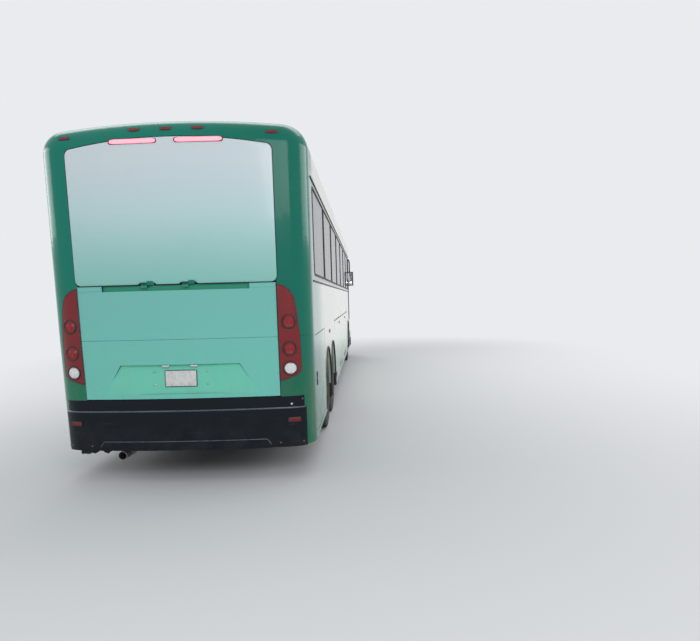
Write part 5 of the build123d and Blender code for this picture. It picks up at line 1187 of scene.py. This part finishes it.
lean = dict(low=0.395, foot=0.212, degrees=10.2)
standing = leant(backPad, **lean)
shellForm = dict(backrest, halfA=0.216, halfB=0.338, corner=0.088, low=-0.036, high=-0.019, crown=0.0,
                 pull=0.0)
shellStanding = leant(padForm(shellForm, 84, 5), **lean)
cushionShape = moved(grid(seatPad, roundV=True), 0, -0.035)
eachSeat = (-rows["spacing"], rows["spacing"])
seatFrame = [roundBox((0, -0.020, 0.335), (0.870, 0.400, 0.022), 0.008, 2)]
seatFrame += [rod([(x, 0.205, 0.345), (x, 0.215, 0.42)], 0.011) for x in (-0.43, 0.43)]
seatFrame += [rod([(-0.44, y, 0.315), (0.44, y, 0.315)], 0.016, 10) for y in (-0.150, 0.120)]
legProfile = mm(-20, -6,  20, -6,  20, 6,  -20, 6)
for foot, knee, top in ((-0.19, -0.06, -0.03), (0.17, 0.05, 0.02)):
    seatFrame += [swept([(x, foot, 0.012), (x, knee, 0.020), (x, top, 0.315)], legProfile, (1, 0, 0))
                  for x in (-0.20, 0.20)]
seatFrame += [roundBox((x, -0.01, 0.006), (0.050, 0.40, 0.010), 0.003, 2) for x in (-0.20, 0.20)]
armRests = [roundBox((x, 0.045, 0.600), (0.040, 0.290, 0.034), 0.015, 4) for x in (-0.432, 0.0, 0.432)]
armRests += [rod([(x + a, y, z) for a, y, z in ((-0.07, 0.345, 1.052), (-0.065, 0.378, 1.068),
                                                (0.065, 0.378, 1.068), (0.07, 0.345, 1.052))], 0.009)
             for x in eachSeat]
trays = [turned(roundBox((x, 0.338, 0.760), (0.330, 0.014, 0.230), 0.006, 3), "x", -8.5, (0, 0.338, 0.76))
         for x in eachSeat]
belts = [rod([(x + s * 0.19, 0.13, 0.440), (x + s * 0.10, 0.05, 0.452), (x + s * 0.03, 0.00, 0.453)],
             0.008, 6) for x in eachSeat for s in (-1, 1)]


def makeSeatCloth():
    # woven moquette: small diamonds in two blues with a lighter thread, a fine weave, and paler wear on top
    f = Finish("seat_cloth", sheen=0.25)
    x, y, z = f.xyz()
    a = ((x * 26 + (z + y * 0.5) * 26).part() - 0.5).abs()
    b = ((x * 26 - (z + y * 0.5) * 26).part() - 0.5).abs()
    diamond, dots = a.high(b).rise(0.40, 0.46), (a + b).rise(0.16, 0.10)
    weave = ((x * 900).wave() * (y * 900 + z * 900).wave()) * 0.5 + 0.5
    tone = f.mix(diamond, (0.020, 0.050, 0.075), (0.030, 0.105, 0.120))
    tone = f.mix(dots, tone, (0.30, 0.24, 0.08))
    worn = f.noise(5, 4).rise(0.45, 0.8) * 0.25
    f.set(baseColor=f.mix(worn + weave * 0.12, tone, (0.11, 0.13, 0.14)), roughness=0.86 + weave * 0.08,
          normal=f.bump(weave + f.noise(60, 3) * 0.6, 0.5, 0.0012))
    return f


seatCloth = makeSeatCloth()
seatHide = makePlain("seat_hide", (0.016, 0.020, 0.026), (0.050, 0.055, 0.060), 30.0, 0.52, 0.25, grain=420,
                     bump=0.5, depth=0.0008)
shellPlastic = makePlain("seat_shell_finish", (0.085, 0.090, 0.095), (0.14, 0.14, 0.14), 5.0, grain=1100,
                         bump=0.3)
for name, side in sides:
    everyRow = lambda shapes: [moved(s, side * rows["middle"], y, rows["floor"]) for y in rowY
                               for s in shapes]
    twice = lambda shape: everyRow([moved(shape, x) for x in eachSeat])
    cushions = putPiece("seat_cushions_" + name, twice(cushionShape), "body", seatCloth, 80)
    if side == 1:
        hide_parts("seats")
    putPiece("seat_backs_" + name, twice(standing), "body", seatCloth, 80)
    putPiece("seat_frames_" + name, [everyRow(seatFrame), twice(shellStanding), everyRow(armRests),
                                     everyRow(trays), everyRow(belts)], "body",
             [chassis, shellPlastic, seatHide, blackPlastic, rubber])
print("passenger seats made")


# Driver's seat: wider pads, a head pad on two posts, a sprung box on its base, two levers and two arm rests
driver = dict(x=0.64, y=-5.795, floor=1.0)
driverLean = dict(low=0.40, foot=0.232, degrees=9.0)
driverPad = padForm(dict(cushion, halfA=0.240, halfB=0.225, corner=0.07, low=0.355, high=0.430))
driverPad = grooved(puffed(driverPad, "driver_cushion_form", 0.008),
                    (lambda x, y: x - 0.135, 0.009, 0.008), (lambda x, y: y + 0.09, 0.008, 0.008),
                    (lambda x, y: np.where(x < 0.135, y - 0.05, 9), 0.006, 0.007))
driverBack = padForm(dict(backrest, halfA=0.235, halfB=0.255, corner=0.075), 84, 12)
x, y, z = np.moveaxis(driverBack, -1, 0)
z += (z > 0.02) * (0.034 * np.clip((np.abs(x) - 0.13) / 0.08, 0, 1) ** 2 + 0.016 * bulge(y, -0.12, 0.08))
driverBack = grooved(puffed(driverBack, "driver_backrest_form", 0.008),
                     (lambda x, y: x - 0.135, 0.010, 0.008), (lambda x, y: np.abs(y) - 0.07, 0.006, 0.007))
headForm = padForm(dict(halfA=0.135, halfB=0.075, corner=0.045, low=-0.030, high=0.030, crown=0.014,
                        pull=0.004), 60, 8)
headForm = grooved(puffed(headForm, "head_pad_form", 0.006), (lambda x, y: x - 0.10, 0.004, 0.006))


def toDriver(shapes):
    return [moved(s, driver["x"], driver["y"], driver["floor"]) for s in shapes]


softs = [moved(grid(driverPad, roundV=True), 0, -0.015), leant(driverBack, **driverLean, up=0.265),
         leant(headForm, **driverLean, up=0.628)]
driverPads = putPiece("driver_seat_pads", toDriver(softs), "body", seatHide, 80)
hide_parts("driver_seat")
folds = [(0.150 + 0.016 * math.cos(k * math.pi), 0.09 + k * 0.019) for k in range(9)]
bellows = spun([(0.0, 0.085), (0.135, 0.085), *folds, (0.135, 0.262), (0.0, 0.262)], "z", n=32)
driverShell = dict(backrest, halfA=0.225, halfB=0.245, corner=0.07, low=-0.040, high=-0.020, crown=0.0,
                   pull=0.0)
base = [roundBox((0, 0, 0.045), (0.36, 0.40, 0.080), 0.012, 3),
        roundBox((0, 0, 0.305), (0.40, 0.42, 0.070), 0.014, 3),
        leant(padForm(driverShell, 60, 5), **driverLean, up=0.265)]
posts = [rod([(x, 0.300, 0.885), (x, 0.318, 0.990)], 0.007, 10) for x in (-0.06, 0.06)]
handles = [rod([(s * 0.215, y, 0.300), (s * 0.232, y - a, 0.300), (s * 0.232, y - b, 0.306)], 0.008)
           for s, y, a, b in ((1, -0.10, 0.03, 0.09), (-1, 0.02, 0.04, 0.11))]
handles += [roundBox((x, 0.06, 0.640), (0.040, 0.300, 0.040), 0.018, 4) for x in (-0.228, 0.228)]
putPiece("driver_seat_base", [toDriver(g) for g in (base, [bellows], posts, handles)], "body",
         [blackPlastic, rubber, chrome, rubber])
print("driver's seat made")


# Racks: a rail under the edge, reading lights and air vents over every seat pair, and lamp strips
rack = dict(rail=(0.655, 3.200), strip=(0.700, 3.018), front=-5.40, rear=6.36, readers=(0.93, 3.0145),
            apart=0.068)  # from a reader's middle to each lamp and vent
rails, lampStrips, readers, vents = [], [], [], []
y = np.linspace(rack["front"], rack["rear"], 40)
readerProfile = mm(30, 0,  30, -10,  26, -16,  20, -12,  17, -4)
ventProfile = mm(0, -16,  12, -15,  16, -10,  16, -4)
for side in (1, -1):
    (railX, railZ), (stripX, stripZ), (readerX, readerZ) = rack["rail"], rack["strip"], rack["readers"]
    rails.append(swept(xyz(side * railX, y, railZ), ringProfile(0.013, 12), (1, 0, 0)))
    lampStrips.append(swept(xyz(side * stripX, y, stripZ),
                            mm(-14, -8,  14, -8,  18, 0,  10, 6,  -10, 6,  -18, 0), (1, 0, 0)))
    for middle in rowY:
        readers.append(roundBox((side * readerX, middle - 0.05, readerZ - 0.004), (0.240, 0.130, 0.014),
                                0.006, 3))
        for k in (-1, 1):
            spot = (side * readerX + k * rack["apart"], middle - 0.03, readerZ - 0.006)
            readers.append(spun(readerProfile, "z", spot, 24))
            vents.append(spun(ventProfile, "z", spot, 20))
stripLight = makeLens("cabin_lamp_finish", (0.80, 0.82, 0.80), (0.62, 0.64, 0.62), 300.0, (0.85, 0.92, 1.0),
                      0.25)
putPiece("rack_fittings", [rails, lampStrips, readers, vents], "body",
         [alloy, stripLight, whitePlastic, clearLens])

# Aisle runner with bound edges, seat rails along the floor, and a yellow nosing on the step
floorTop = rows["floor"]
u, v = field(120, 15, 0)
lift = 0.004 * (1 - np.abs(v) ** 10) + 0.0006 * np.sin(u * 210) * np.cos(v * 9)
runner = grid(xyz(0.255 * v, -5.43 + 11.8 * u, floorTop + lift))
bindProfile = mm(-10, -3,  10, -3,  8, 3,  -8, 4)
trackProfile = mm(-22, -2,  22, -2,  18, 4,  8, 4,  6, 1,  -6, 1,  -8, 4,  -18, 4)
binding, tracks = ([swept(xyz(s * x, np.linspace(front, 6.37, 60), floorTop + up), profile, (1, 0, 0))
                    for s in (-1, 1) for x in places]
                   for places, front, up, profile in (((0.262,), -5.43, 0.003, bindProfile),
                                                      ((0.55, 0.95), -5.2, 0.002, trackProfile)))
nosing = swept([(-0.30, -5.478, floorTop), (0.30, -5.478, floorTop)],
               mm(-4, -22,  6, -20,  7, 2,  -20, 5,  -34, 3,  -34, 0,  -4, 0), (0, -1, 0))
putPiece("aisle_runner", [runner, binding, tracks, nosing], "body",
         [carpet, rubber, alloy, yellowStrip])

# Dashboard: a hooded cluster of dials, switch rows and the pedals
dash = dict(x=0.64, y=-6.40, z=1.40, dialY=-6.355, tilt=42, needle=0.7,
            dials=((-0.105, 0.052), (0.0, 0.034), (0.105, 0.052), (-0.20, 0.030), (0.20, 0.030)))


def tiltedBack(shapes):
    return [turned(s, "x", dash["tilt"], (0, dash["dialY"], dash["z"] + 0.004)) for s in shapes]


def makeDialFace():
    # ticks round a dark face, drawn by angle and distance from the middle of the piece's own UV
    f = Finish("dial_face")
    u, v = f.apart(f.node("TexCoord").outputs["UV"])[:2]
    a, b = u - 0.5, v - 0.5
    far = (a * a + b * b) ** 0.5
    turn = b.math("ARCTAN2", a) * 3.8197  # one for each of 24 ticks in a whole turn
    ticks = ((turn.part() - 0.5).abs() > 0.44) * (far > 0.36) * (far < 0.45)
    f.set(baseColor=f.mix(ticks, (0.012, 0.013, 0.015), (0.75, 0.76, 0.74)),
          roughness=0.35 + f.noise(30, 2) * 0.1, normal=f.bump(f.noise(200, 2), 0.1, 0.0004))
    return f


discs, maps, dialRings, needles = [], [], [], []
for k, (x, radius) in enumerate(dash["dials"]):
    x, y, z = dash["x"] + x, dash["dialY"], dash["z"]
    t = np.linspace(0, 2 * math.pi, 33)[:-1]
    reach = np.linspace(0.0, 1.0, 6)[:, None]
    a, b = reach * np.cos(t), reach * np.sin(t)
    discs.append(grid(xyz(x + radius * a, y + radius * b, z + 0.008), roundV=True))
    # each disc has its own map from 0 to 1
    maps.append(np.stack([0.5 + 0.5 * a, 0.5 + 0.5 * b], -1).reshape(-1, 2))
    dialRings.append(spun([(radius - 0.001, 0.006), (radius + 0.001, 0.014), (radius + 0.006, 0.014),
                           (radius + 0.008, 0.004)], "z", (x, y, z), 32))
    tip = dash["needle"] * radius
    needles.append(swept([(x, y, z + 0.010),
                          (x + tip * math.cos(0.6 + k), y + tip * math.sin(0.6 + k), z + 0.010)],
                         mm(-1.2, -1.5,  1.2, -1.5,  1.2, 1.5,  -1.2, 1.5), (0, 0, 1)))
switches = [roundBox((dash["x"] - 0.60 + k * 0.036, dash["y"] + 0.030 - row * 0.050, dash["z"]),
                     (0.028, 0.038, 0.012), 0.003, 2) for row in range(2) for k in range(9)]
for x in (0.50, 0.64, 0.78):
    switches.append(turned(roundBox((x, -6.335, 1.075), (0.075, 0.018, 0.130), 0.006, 3), "x", -32,
                           (0, -6.335, 1.075)))
    switches.append(rod([(x, -6.36, 1.10), (x, -6.42, 1.20)], 0.008))
u, v = field(31, 15, -1, 0)
hood = xyz(dash["x"] + 0.275 * u, dash["y"] - 0.060 + 0.090 * v,
           dash["z"] + 0.018 + 0.030 * (1 - u ** 4) * np.sin(v * 2.2 + 0.6))
putPiece("dial_faces", tiltedBack(discs), "body", makeDialFace(), uv=np.concatenate(maps))
putPiece("dashboard_fittings", [tiltedBack(dialRings), tiltedBack(needles), switches,
                                foldedSheet(hood, hood - [0, 0, 0.008])], "body",
         [chrome, amberLens, rubber, blackPlastic])

# Handrails by the steps: bright tubes with round feet
handrails = ([(-0.42, -5.56, 1.02), (-0.42, -5.56, 1.90), (-0.42, -5.62, 1.96), (-0.42, -5.78, 1.96)],
             [(0.34, -5.52, 1.02), (0.34, -5.52, 2.20)])
posts = [rod(path, 0.016, 12) for path in handrails]
footProfile = mm(0, 10,  24, 9,  30, 3,  30, 0,  0, 0)
feet = [spun(footProfile, "z", (*path[0][:2], driver["floor"]), 24) for path in handrails]
putPiece("handrails", [posts, feet], "body", [chrome, alloy])
print("cabin pieces made")


# Mirrors: a flat glass over a small wide-angle one in each head, a bead round them and an arm boot
mirrorHead = dict(x=1.315, y=-7.015, face=-6.970, wide=0.172, bootZ=2.578,
                  panes=((2.305, 2.565, 0.0004), (2.190, 2.285, 0.0035)))  # low, high and bulge of each glass
mirrorGlass = makePlain("mirror_glass", (0.80, 0.82, 0.84), (0.66, 0.69, 0.71), 9.0, 0.04, 0.05, 1.0,
                        grain=20, bump=0.02)
glasses, edges = [], []
half = mirrorHead["wide"] / 2 - 0.008
for z0, z1, bulged in mirrorHead["panes"]:
    u, v = field(17, 17)
    middle, halfZ = (z0 + z1) / 2, (z1 - z0) / 2
    glasses.append(grid(xyz(mirrorHead["x"] + half * u,
                            mirrorHead["face"] + 0.0012 + bulged * (1 - u ** 2) * (1 - v ** 2),
                            middle + halfZ * v)))
    loop = roundPath(half + 0.001, halfZ + 0.001, 0.010) + [mirrorHead["x"], middle]
    edges.append(carried(laid(loop, "y", mirrorHead["face"] + 0.001), ringProfile(0.0028), (0, 1, 0.001)))
boot = spun(mm(22, 0,  26, 12,  22, 24,  26, 36,  21, 48,  17, 52), "z",
            (mirrorHead["x"], mirrorHead["y"], mirrorHead["bootZ"]), 24)
onBoth = lambda shapes: flipped(shapes, 1) + flipped(shapes, -1)
putPiece("mirror_glasses", [onBoth(glasses), onBoth(edges), onBoth([boot])], "body",
         [mirrorGlass, rubber, rubber])

# Roof: flat joint strips over its seams, a rubber seal under each hatch lid, and its lever and ribs inside
hatches = dict(front=-2.900, rear=3.700)
seams = dict(side=0.900, half=1.04, across=(-5.900, -3.200, -2.600, 3.400, 4.000))


def roofZ(x):  # crown of the roof, and the quarter round at its long edges
    flat = body["half"] - body["edge"]
    top = body["roof"] - body["crown"] + circle(body["crown"], np.minimum(np.abs(x), flat))
    return top - body["edge"] + circle(body["edge"], np.maximum(np.abs(x) - flat, 0))


seamProfile = mm(-2, -11,  1.32, -11,  2.2, -7.7,  2.2, 7.7,  1.32, 11,  -2, 11)
strips = []
for y in seams["across"]:
    x = np.linspace(-seams["half"], seams["half"], 61)
    parts = [x] if y == seams["across"][0] else [x[:21], x[40:]]  # all but the first one stop at a hatch
    strips += [swept(xyz(part, y, roofZ(part)), seamProfile, (0, 0, 1)) for part in parts]
for x in (-seams["side"], seams["side"]):
    strips.append(swept(xyz(x, np.linspace(-6.20, 6.40, 80), roofZ(x)), seamProfile, (0, 0, 1)))
putPiece("roof_joint_strips", strips, "body", whitePlastic)
for name, y in hatches.items():
    gasket = carried(laid(roundPath(0.338, 0.338, 0.050) + [0, y], "z", 3.5035),
                     mm(6, -3,  8, 2,  2, 4,  -6, 3,  -6, -3), (0, 0, 1.0))
    lever = rod([(x, y + a, z) for x, a, z in ((-0.10, 0.22, 3.500), (-0.10, 0.20, 3.478),
                                               (0.10, 0.20, 3.478), (0.10, 0.22, 3.500))], 0.008, 10)
    lidRibs = [roundBox((x, y, 3.4985), (0.030, 0.560, 0.009), 0.003, 2) for x in (-0.20, 0.20)]
    putPiece(f"hatch_{name}_seal", [gasket, lever, lidRibs], "roof_hatch_" + name,
             [rubber, redLens, whitePlastic])

# A black ring under each of the five small lamps over the rear panel
baseRings = []
for x, z in ((0.0, 3.377), (0.30, 3.377), (-0.30, 3.377), (0.984, 3.33), (-0.984, 3.33)):
    loop = roundPath(0.062, 0.0155, 0.013) + [x, z]
    baseRings.append(carried(laid(loop, "y", rearY(*loop.T) + 0.0015), ringProfile(0.0030), (0, 1, 0.4)))
putPiece("end_lamp_rings", baseRings, "body", rubber)

# Slanted blades behind the left service door's air slots
louver = dict(count=9, first=0.651, pitch=0.062, front=5.259, rear=6.413)
y = np.linspace(louver["front"], louver["rear"], 8)
blades = [swept(xyz(body["half"] - 0.012, y, louver["first"] + k * louver["pitch"]),
                mm(12, -12,  13, -10,  -14, 14,  -16, 12), (1, 0, 0)) for k in range(louver["count"])]
putPiece("service_louver_blades", blades, "service_left", skirtPaint)

# Entrance door: a pull rail inside the glass, a flush outer handle, a lock, and rubber down its closing edge
entrance = dict(skin=-body["half"], handleY=-5.575, pane=(-6.165, -5.613, 1.15, 2.327, 0.06))
skin, handleY = entrance["skin"], entrance["handleY"]
inner = skin + 0.05
rail = rod([(inner + 0.004, -5.60, 1.20), (inner + 0.040, -5.61, 1.22), (inner + 0.040, -5.61, 1.86),
            (inner + 0.004, -5.60, 1.88)], 0.011, 12)
outwards = (-1, 0, 0.0001)
pull = [sideBead(mm(0, -4,  3.5, -2,  3.5, 3,  0, 6,  -3, 0), handleY - 0.028, handleY + 0.028, 0.960,
                 1.080, 0.010, skin - 0.0005, out=outwards, n=5),
        roundBox((skin - 0.0015, handleY, 1.025), (0.006, 0.040, 0.080), 0.0025, 3)]
lockFace = spun(mm(0, -6.5,  6, -6.5,  8, -5,  8, 2,  0, 2), "x", (skin, handleY, 0.915), 20)
edgeRubber = swept([(skin + 0.010, -5.5265, 0.36), (skin + 0.010, -5.5265, 2.395)],
                   mm(-8, -2.5,  8, -2.5,  9, 1,  -9, 1), (-1, 0, 0))
paneSeal = sideBead(sealProfile, *entrance["pane"], skin, out=outwards)
putPiece("entrance_door_fittings", [rail, pull, lockFace, [edgeRubber, paneSeal]], "entrance",
         [alloy, blackPlastic, chrome, rubber])
print("outside pieces made")


# Engine bay: rocker covers, air cleaner, belt drive with pulleys, alternator, filters and hoses
engineBay = dict(rear=6.420, radiator=1.200, radiatorY=(5.30, 6.38), cleaner=(-0.72, 6.05, 1.22))
rearFace, radiatorX = engineBay["rear"], engineBay["radiator"]
castings, plastics, rubbers = [], [], []
for s in (-1, 1):  # two banks of ribbed covers on top of the block
    castings.append(roundBox((s * 0.20, 5.95, 1.386), (0.200, 0.820, 0.060), 0.022, 4))
    castings += [roundBox((s * 0.20, 5.62 + 0.11 * k, 1.402), (0.170, 0.016, 0.034), 0.006, 2)
                 for k in range(7)]
pulleys = ((0.00, 0.70, 0.115), (-0.24, 0.86, 0.075), (0.23, 0.92, 0.090), (-0.05, 1.12, 0.060),
           (0.30, 0.66, 0.050))
for x, z, r in pulleys:  # each is a stepped disc with three grooves
    outline = np.array([(0.0, 85), (0.25, 85), (0.25, 70), (0.80, 62), (0.86, 74), (1, 78), (1, 70),
                        (0.93, 64), (1, 58), (1, 52), (0.93, 46), (1, 40), (1, 34), (0.4, 30), (0.3, -4),
                        (0.0, -4)]) * [r, 0.001]
    castings.append(spun(outline, "y", (x, rearFace, z), 48))
bolts = [spun(mm(0, 94,  11, 93,  13, 85,  0, 84), "y", (x, rearFace, z), 6) for x, z, r in pulleys]
belt = mm(-115, 690,  -100, 630,  0, 582,  280, 612,  345, 640,  350, 690,  322, 920,  290, 985,  220, 1010,
          -20, 1175,  -60, 1182,  -100, 1155,  -300, 910,  -318, 860,  -290, 800,  -160, 750)
path = laid(belt, "y", rearFace + 0.052)
rubbers.append(carried(smoothPath(np.concatenate([path, path[:1]]), 96)[:-1],
                       mm(-4, -14,  4, -14,  4, 14,  -4, 14), (0, 1, 0)))
alternator = mm(0, 20,  55, 20,  70, 32,  70, 60,  62, 66,  62, 120,  70, 126,  70, 150,  55, 165,  0, 165)
castings.append(spun(alternator, "y", (-0.24, rearFace - 0.172, 0.86), 40))
canister = mm(0, 0,  40, 4,  46, 14,  46, 150,  42, 160,  20, 164,  0, 164)
plastics += [spun(canister, "z", (-0.36, rearFace + 0.060, z), 36) for z in (0.52, 0.72)]
cleanerX, cleanerY, cleanerZ = engineBay["cleaner"]
cleaner = mm(0, -240,  120, -240,  130, -225,  130, 225,  120, 240,  0, 240)
plastics.append(spun(cleaner, "x", (cleanerX, cleanerY, cleanerZ), 48))
plastics += [spun(mm(128, -4,  134, -3,  134, 3,  128, 4), "x",
                  (cleanerX + (k - 4) * 0.05, cleanerY, cleanerZ), 48) for k in range(9)]
rubbers.append(rod([(-0.49, 6.05, 1.22), (-0.42, 6.10, 1.30), (-0.34, 6.16, 1.37), (-0.22, 6.18, 1.405)],
                   0.045, 16))
rubbers.append(rod([(x, rearFace + y, z) for x, y, z in ((0.30, -0.02, 1.25), (0.34, 0.10, 1.27),
                                                         (0.60, 0.08, 1.28), (0.95, -0.05, 1.28),
                                                         (1.12, -0.12, 1.28))], 0.028, 14))
for k in range(5):  # a loom along the rear face
    rubbers.append(rod([(-0.44 + 0.012 * k, rearFace + 0.012, 1.30),
                        (-0.15, rearFace + 0.020 + 0.004 * k, 1.32),
                        (0.20, rearFace + 0.018, 1.30 + 0.006 * k),
                        (0.44, rearFace + 0.012, 1.20 - 0.01 * k)], 0.005, 6))
y0, y1 = engineBay["radiatorY"]
fins = [roundBox((radiatorX + 0.003, y, 0.955), (0.010, 0.004, 0.720), 0.0015, 1)
        for y in np.linspace(y0 + 0.03, y1 - 0.03, 46)]
castings += [roundBox((radiatorX - 0.045, (y0 + y1) / 2, z), (0.130, y1 - y0 + 0.02, 0.070), 0.018, 3)
             for z in (0.600, 1.310)]
putPiece("engine_fittings", [castings, plastics, rubbers, bolts, fins], "body",
         [alloy, blackPlastic, rubber, chrome, iron])

# Under the floor: brake chambers and their rods, roll bars and the brake pipes along the rails
brakes = dict(front=(0.62, 0.58), drive=(0.36, 0.64), tag=(0.60, 0.58))  # x and z of the chambers
rollBars = dict(front=0.22, drive=-0.24)  # how far each reaches from its axle
chamber = mm(0, 0,  60, 0,  74, 12,  74, 50,  82, 56,  82, 68,  74, 74,  70, 120,  40, 135,  0, 135)
places = [(s * x, axles[axle], z) for s in (-1, 1) for axle, (x, z) in brakes.items()]
chambers = [spun(chamber, "y", (x, y + 0.12, z), 36) for x, y, z in places]
arms = [rod([(x, y + 0.13, z), (x, y + 0.04, z)], 0.009, 10) for x, y, z in places]
for axle, back in rollBars.items():
    half = [(-0.58, 0.0, 0.455), (-0.58, back * 0.8, 0.450), (-0.53, back, 0.450)]
    bent = half + [(-x, y, z) for x, y, z in half[::-1]]
    arms.append(rod([(x, axles[axle] - y, z) for x, y, z in bent], 0.017, 12))
pipes = [rod([(s * 0.42, y, 0.86) for y in (-6.2, -3.0, 2.0, 6.2)], 0.008) for s in (-1, 1)]
putPiece("running_gear_fittings", [chambers, arms, pipes], "body",
         [blackPlastic, steel, rubber])
print("under pieces made")


# Steering wheel: a leather wrap with its stitching on the rim, a hub pad, and stalks on the column
steering = dict(rim=0.225, thick=0.0165, middle=(0.640, -6.198, 1.613), lean=(0.507, 0.862), stitch=120)


def onWheel(shapes):  # drawn round the z axis, then leant back and moved to the wheel's middle
    tiltWheel = math.degrees(math.atan2(*steering["lean"]))
    return [moved(turned(s, "x", -tiltWheel), *steering["middle"]) for s in shapes]


turn = np.linspace(0, 2 * math.pi, 192, endpoint=False)[:, None]
around = np.linspace(0, 2 * math.pi, 16, endpoint=False)
grip = steering["thick"] + 0.0012 + 0.0016 * np.maximum(0, np.cos(turn * 24)) ** 8  # finger swells
ringR = steering["rim"] + grip * np.cos(around)
wrap = grid(xyz(ringR * np.cos(turn), ringR * np.sin(turn), grip * np.sin(around)), True, True)
seamR = steering["rim"] - steering["thick"] - 0.001
stitches = [rod([(seamR * math.cos(a + d), seamR * math.sin(a + d), -d / 4) for d in (-0.008, 0.008)],
                0.0008, 5) for a in 2 * math.pi * np.arange(steering["stitch"]) / steering["stitch"]]
pad = spun(mm(0, 30,  40, 28,  62, 20,  70, 8,  68, -6,  0, -10), "z", n=48)
knob = spun(mm(0, 34,  18, 33,  21, 29,  21, 26,  0, 26), "z", n=32)
stalks = [rod([(s * 0.02, 0, -0.07), (s * 0.09, 0.0, -0.060), (s * 0.17, 0.01, -0.045)], 0.0065, 10)
          for s in (-1, 1)]
putPiece("steering_wheel_wrap", [onWheel(g) for g in ([wrap], stitches, [pad] + stalks, [knob])],
         "body", [rubber, whitePlastic, blackPlastic, alloy])
print("steering wheel dressed")


# Floor, world and soft lamps
stage = dict(size=60.0, clearX=1.3, clearY=7.0, fade=(1.0, 9.0))
pale = dict(Color=(0.86, 0.88, 0.90), Strength=0.95)


def makeStage():
    size = stage["size"]
    mesh = bpy.data.meshes.new("floor")
    mesh.from_pydata([(-size, -size, 0), (size, -size, 0), (size, size, 0), (-size, size, 0)], [],
                     [(0, 1, 2, 3)])
    floor = bpy.data.objects.new("floor", mesh)
    scene.collection.objects.link(floor)
    f = Finish("floor_paper", roughness=0.85, baseColor=(0.62, 0.63, 0.64), specular=0.2)
    x, y, z = f.xyz()
    over, past = (x.abs() - stage["clearX"]).high(0), (y.abs() - stage["clearY"]).high(0)
    # the floor runs out into the pale world
    far = ((over * over + past * past) ** 0.5).rise(*stage["fade"]) * f.toCamera()
    f.finishWith("Material Output", far, f.bsdf, f.node("Emission", None, pale))
    mesh.materials.append(f.mat)
    world = bpy.data.worlds.new("pale_world")
    scene.world = world
    w = NodeTree(world)
    ground = w.tree.nodes["Background"]
    for socket, value in zip(ground.inputs, ((0.93, 0.95, 1.0, 1), 0.55)):
        socket.default_value = value
    w.finishWith("World Output", w.toCamera(), ground, w.node("Background", None, pale))


lamps = (("over", (0, 0, 11.0), (0, 0, 0), 16.0, 6.0, 620.0),
         ("behind", (-5.0, 17.0, 7.0), (0, 5.0, 1.6), 8.0, 5.0, 520.0),
         ("ahead", (5.0, -17.0, 7.0), (0, -5.0, 1.6), 8.0, 5.0, 520.0),
         ("leftSide", (15.0, 2.0, 6.5), (0, 0, 1.5), 14.0, 5.0, 700.0),
         ("rightSide", (-15.0, -2.0, 6.5), (0, 0, 1.5), 14.0, 5.0, 700.0))


def makeLamps():
    for name, place, aim, long, deep, power in lamps:
        data = bpy.data.lights.new(name, "AREA")
        data.shape, data.size, data.size_y, data.energy = "RECTANGLE", long, deep, power
        lamp = bpy.data.objects.new(name, data)
        scene.collection.objects.link(lamp)
        lamp.location = place
        lamp.rotation_euler = (Vector(aim) - Vector(place)).to_track_quat("-Z", "Y").to_euler()


makeStage()
makeLamps()
scene.view_settings.view_transform = "Standard"
print("stage and lamps set")
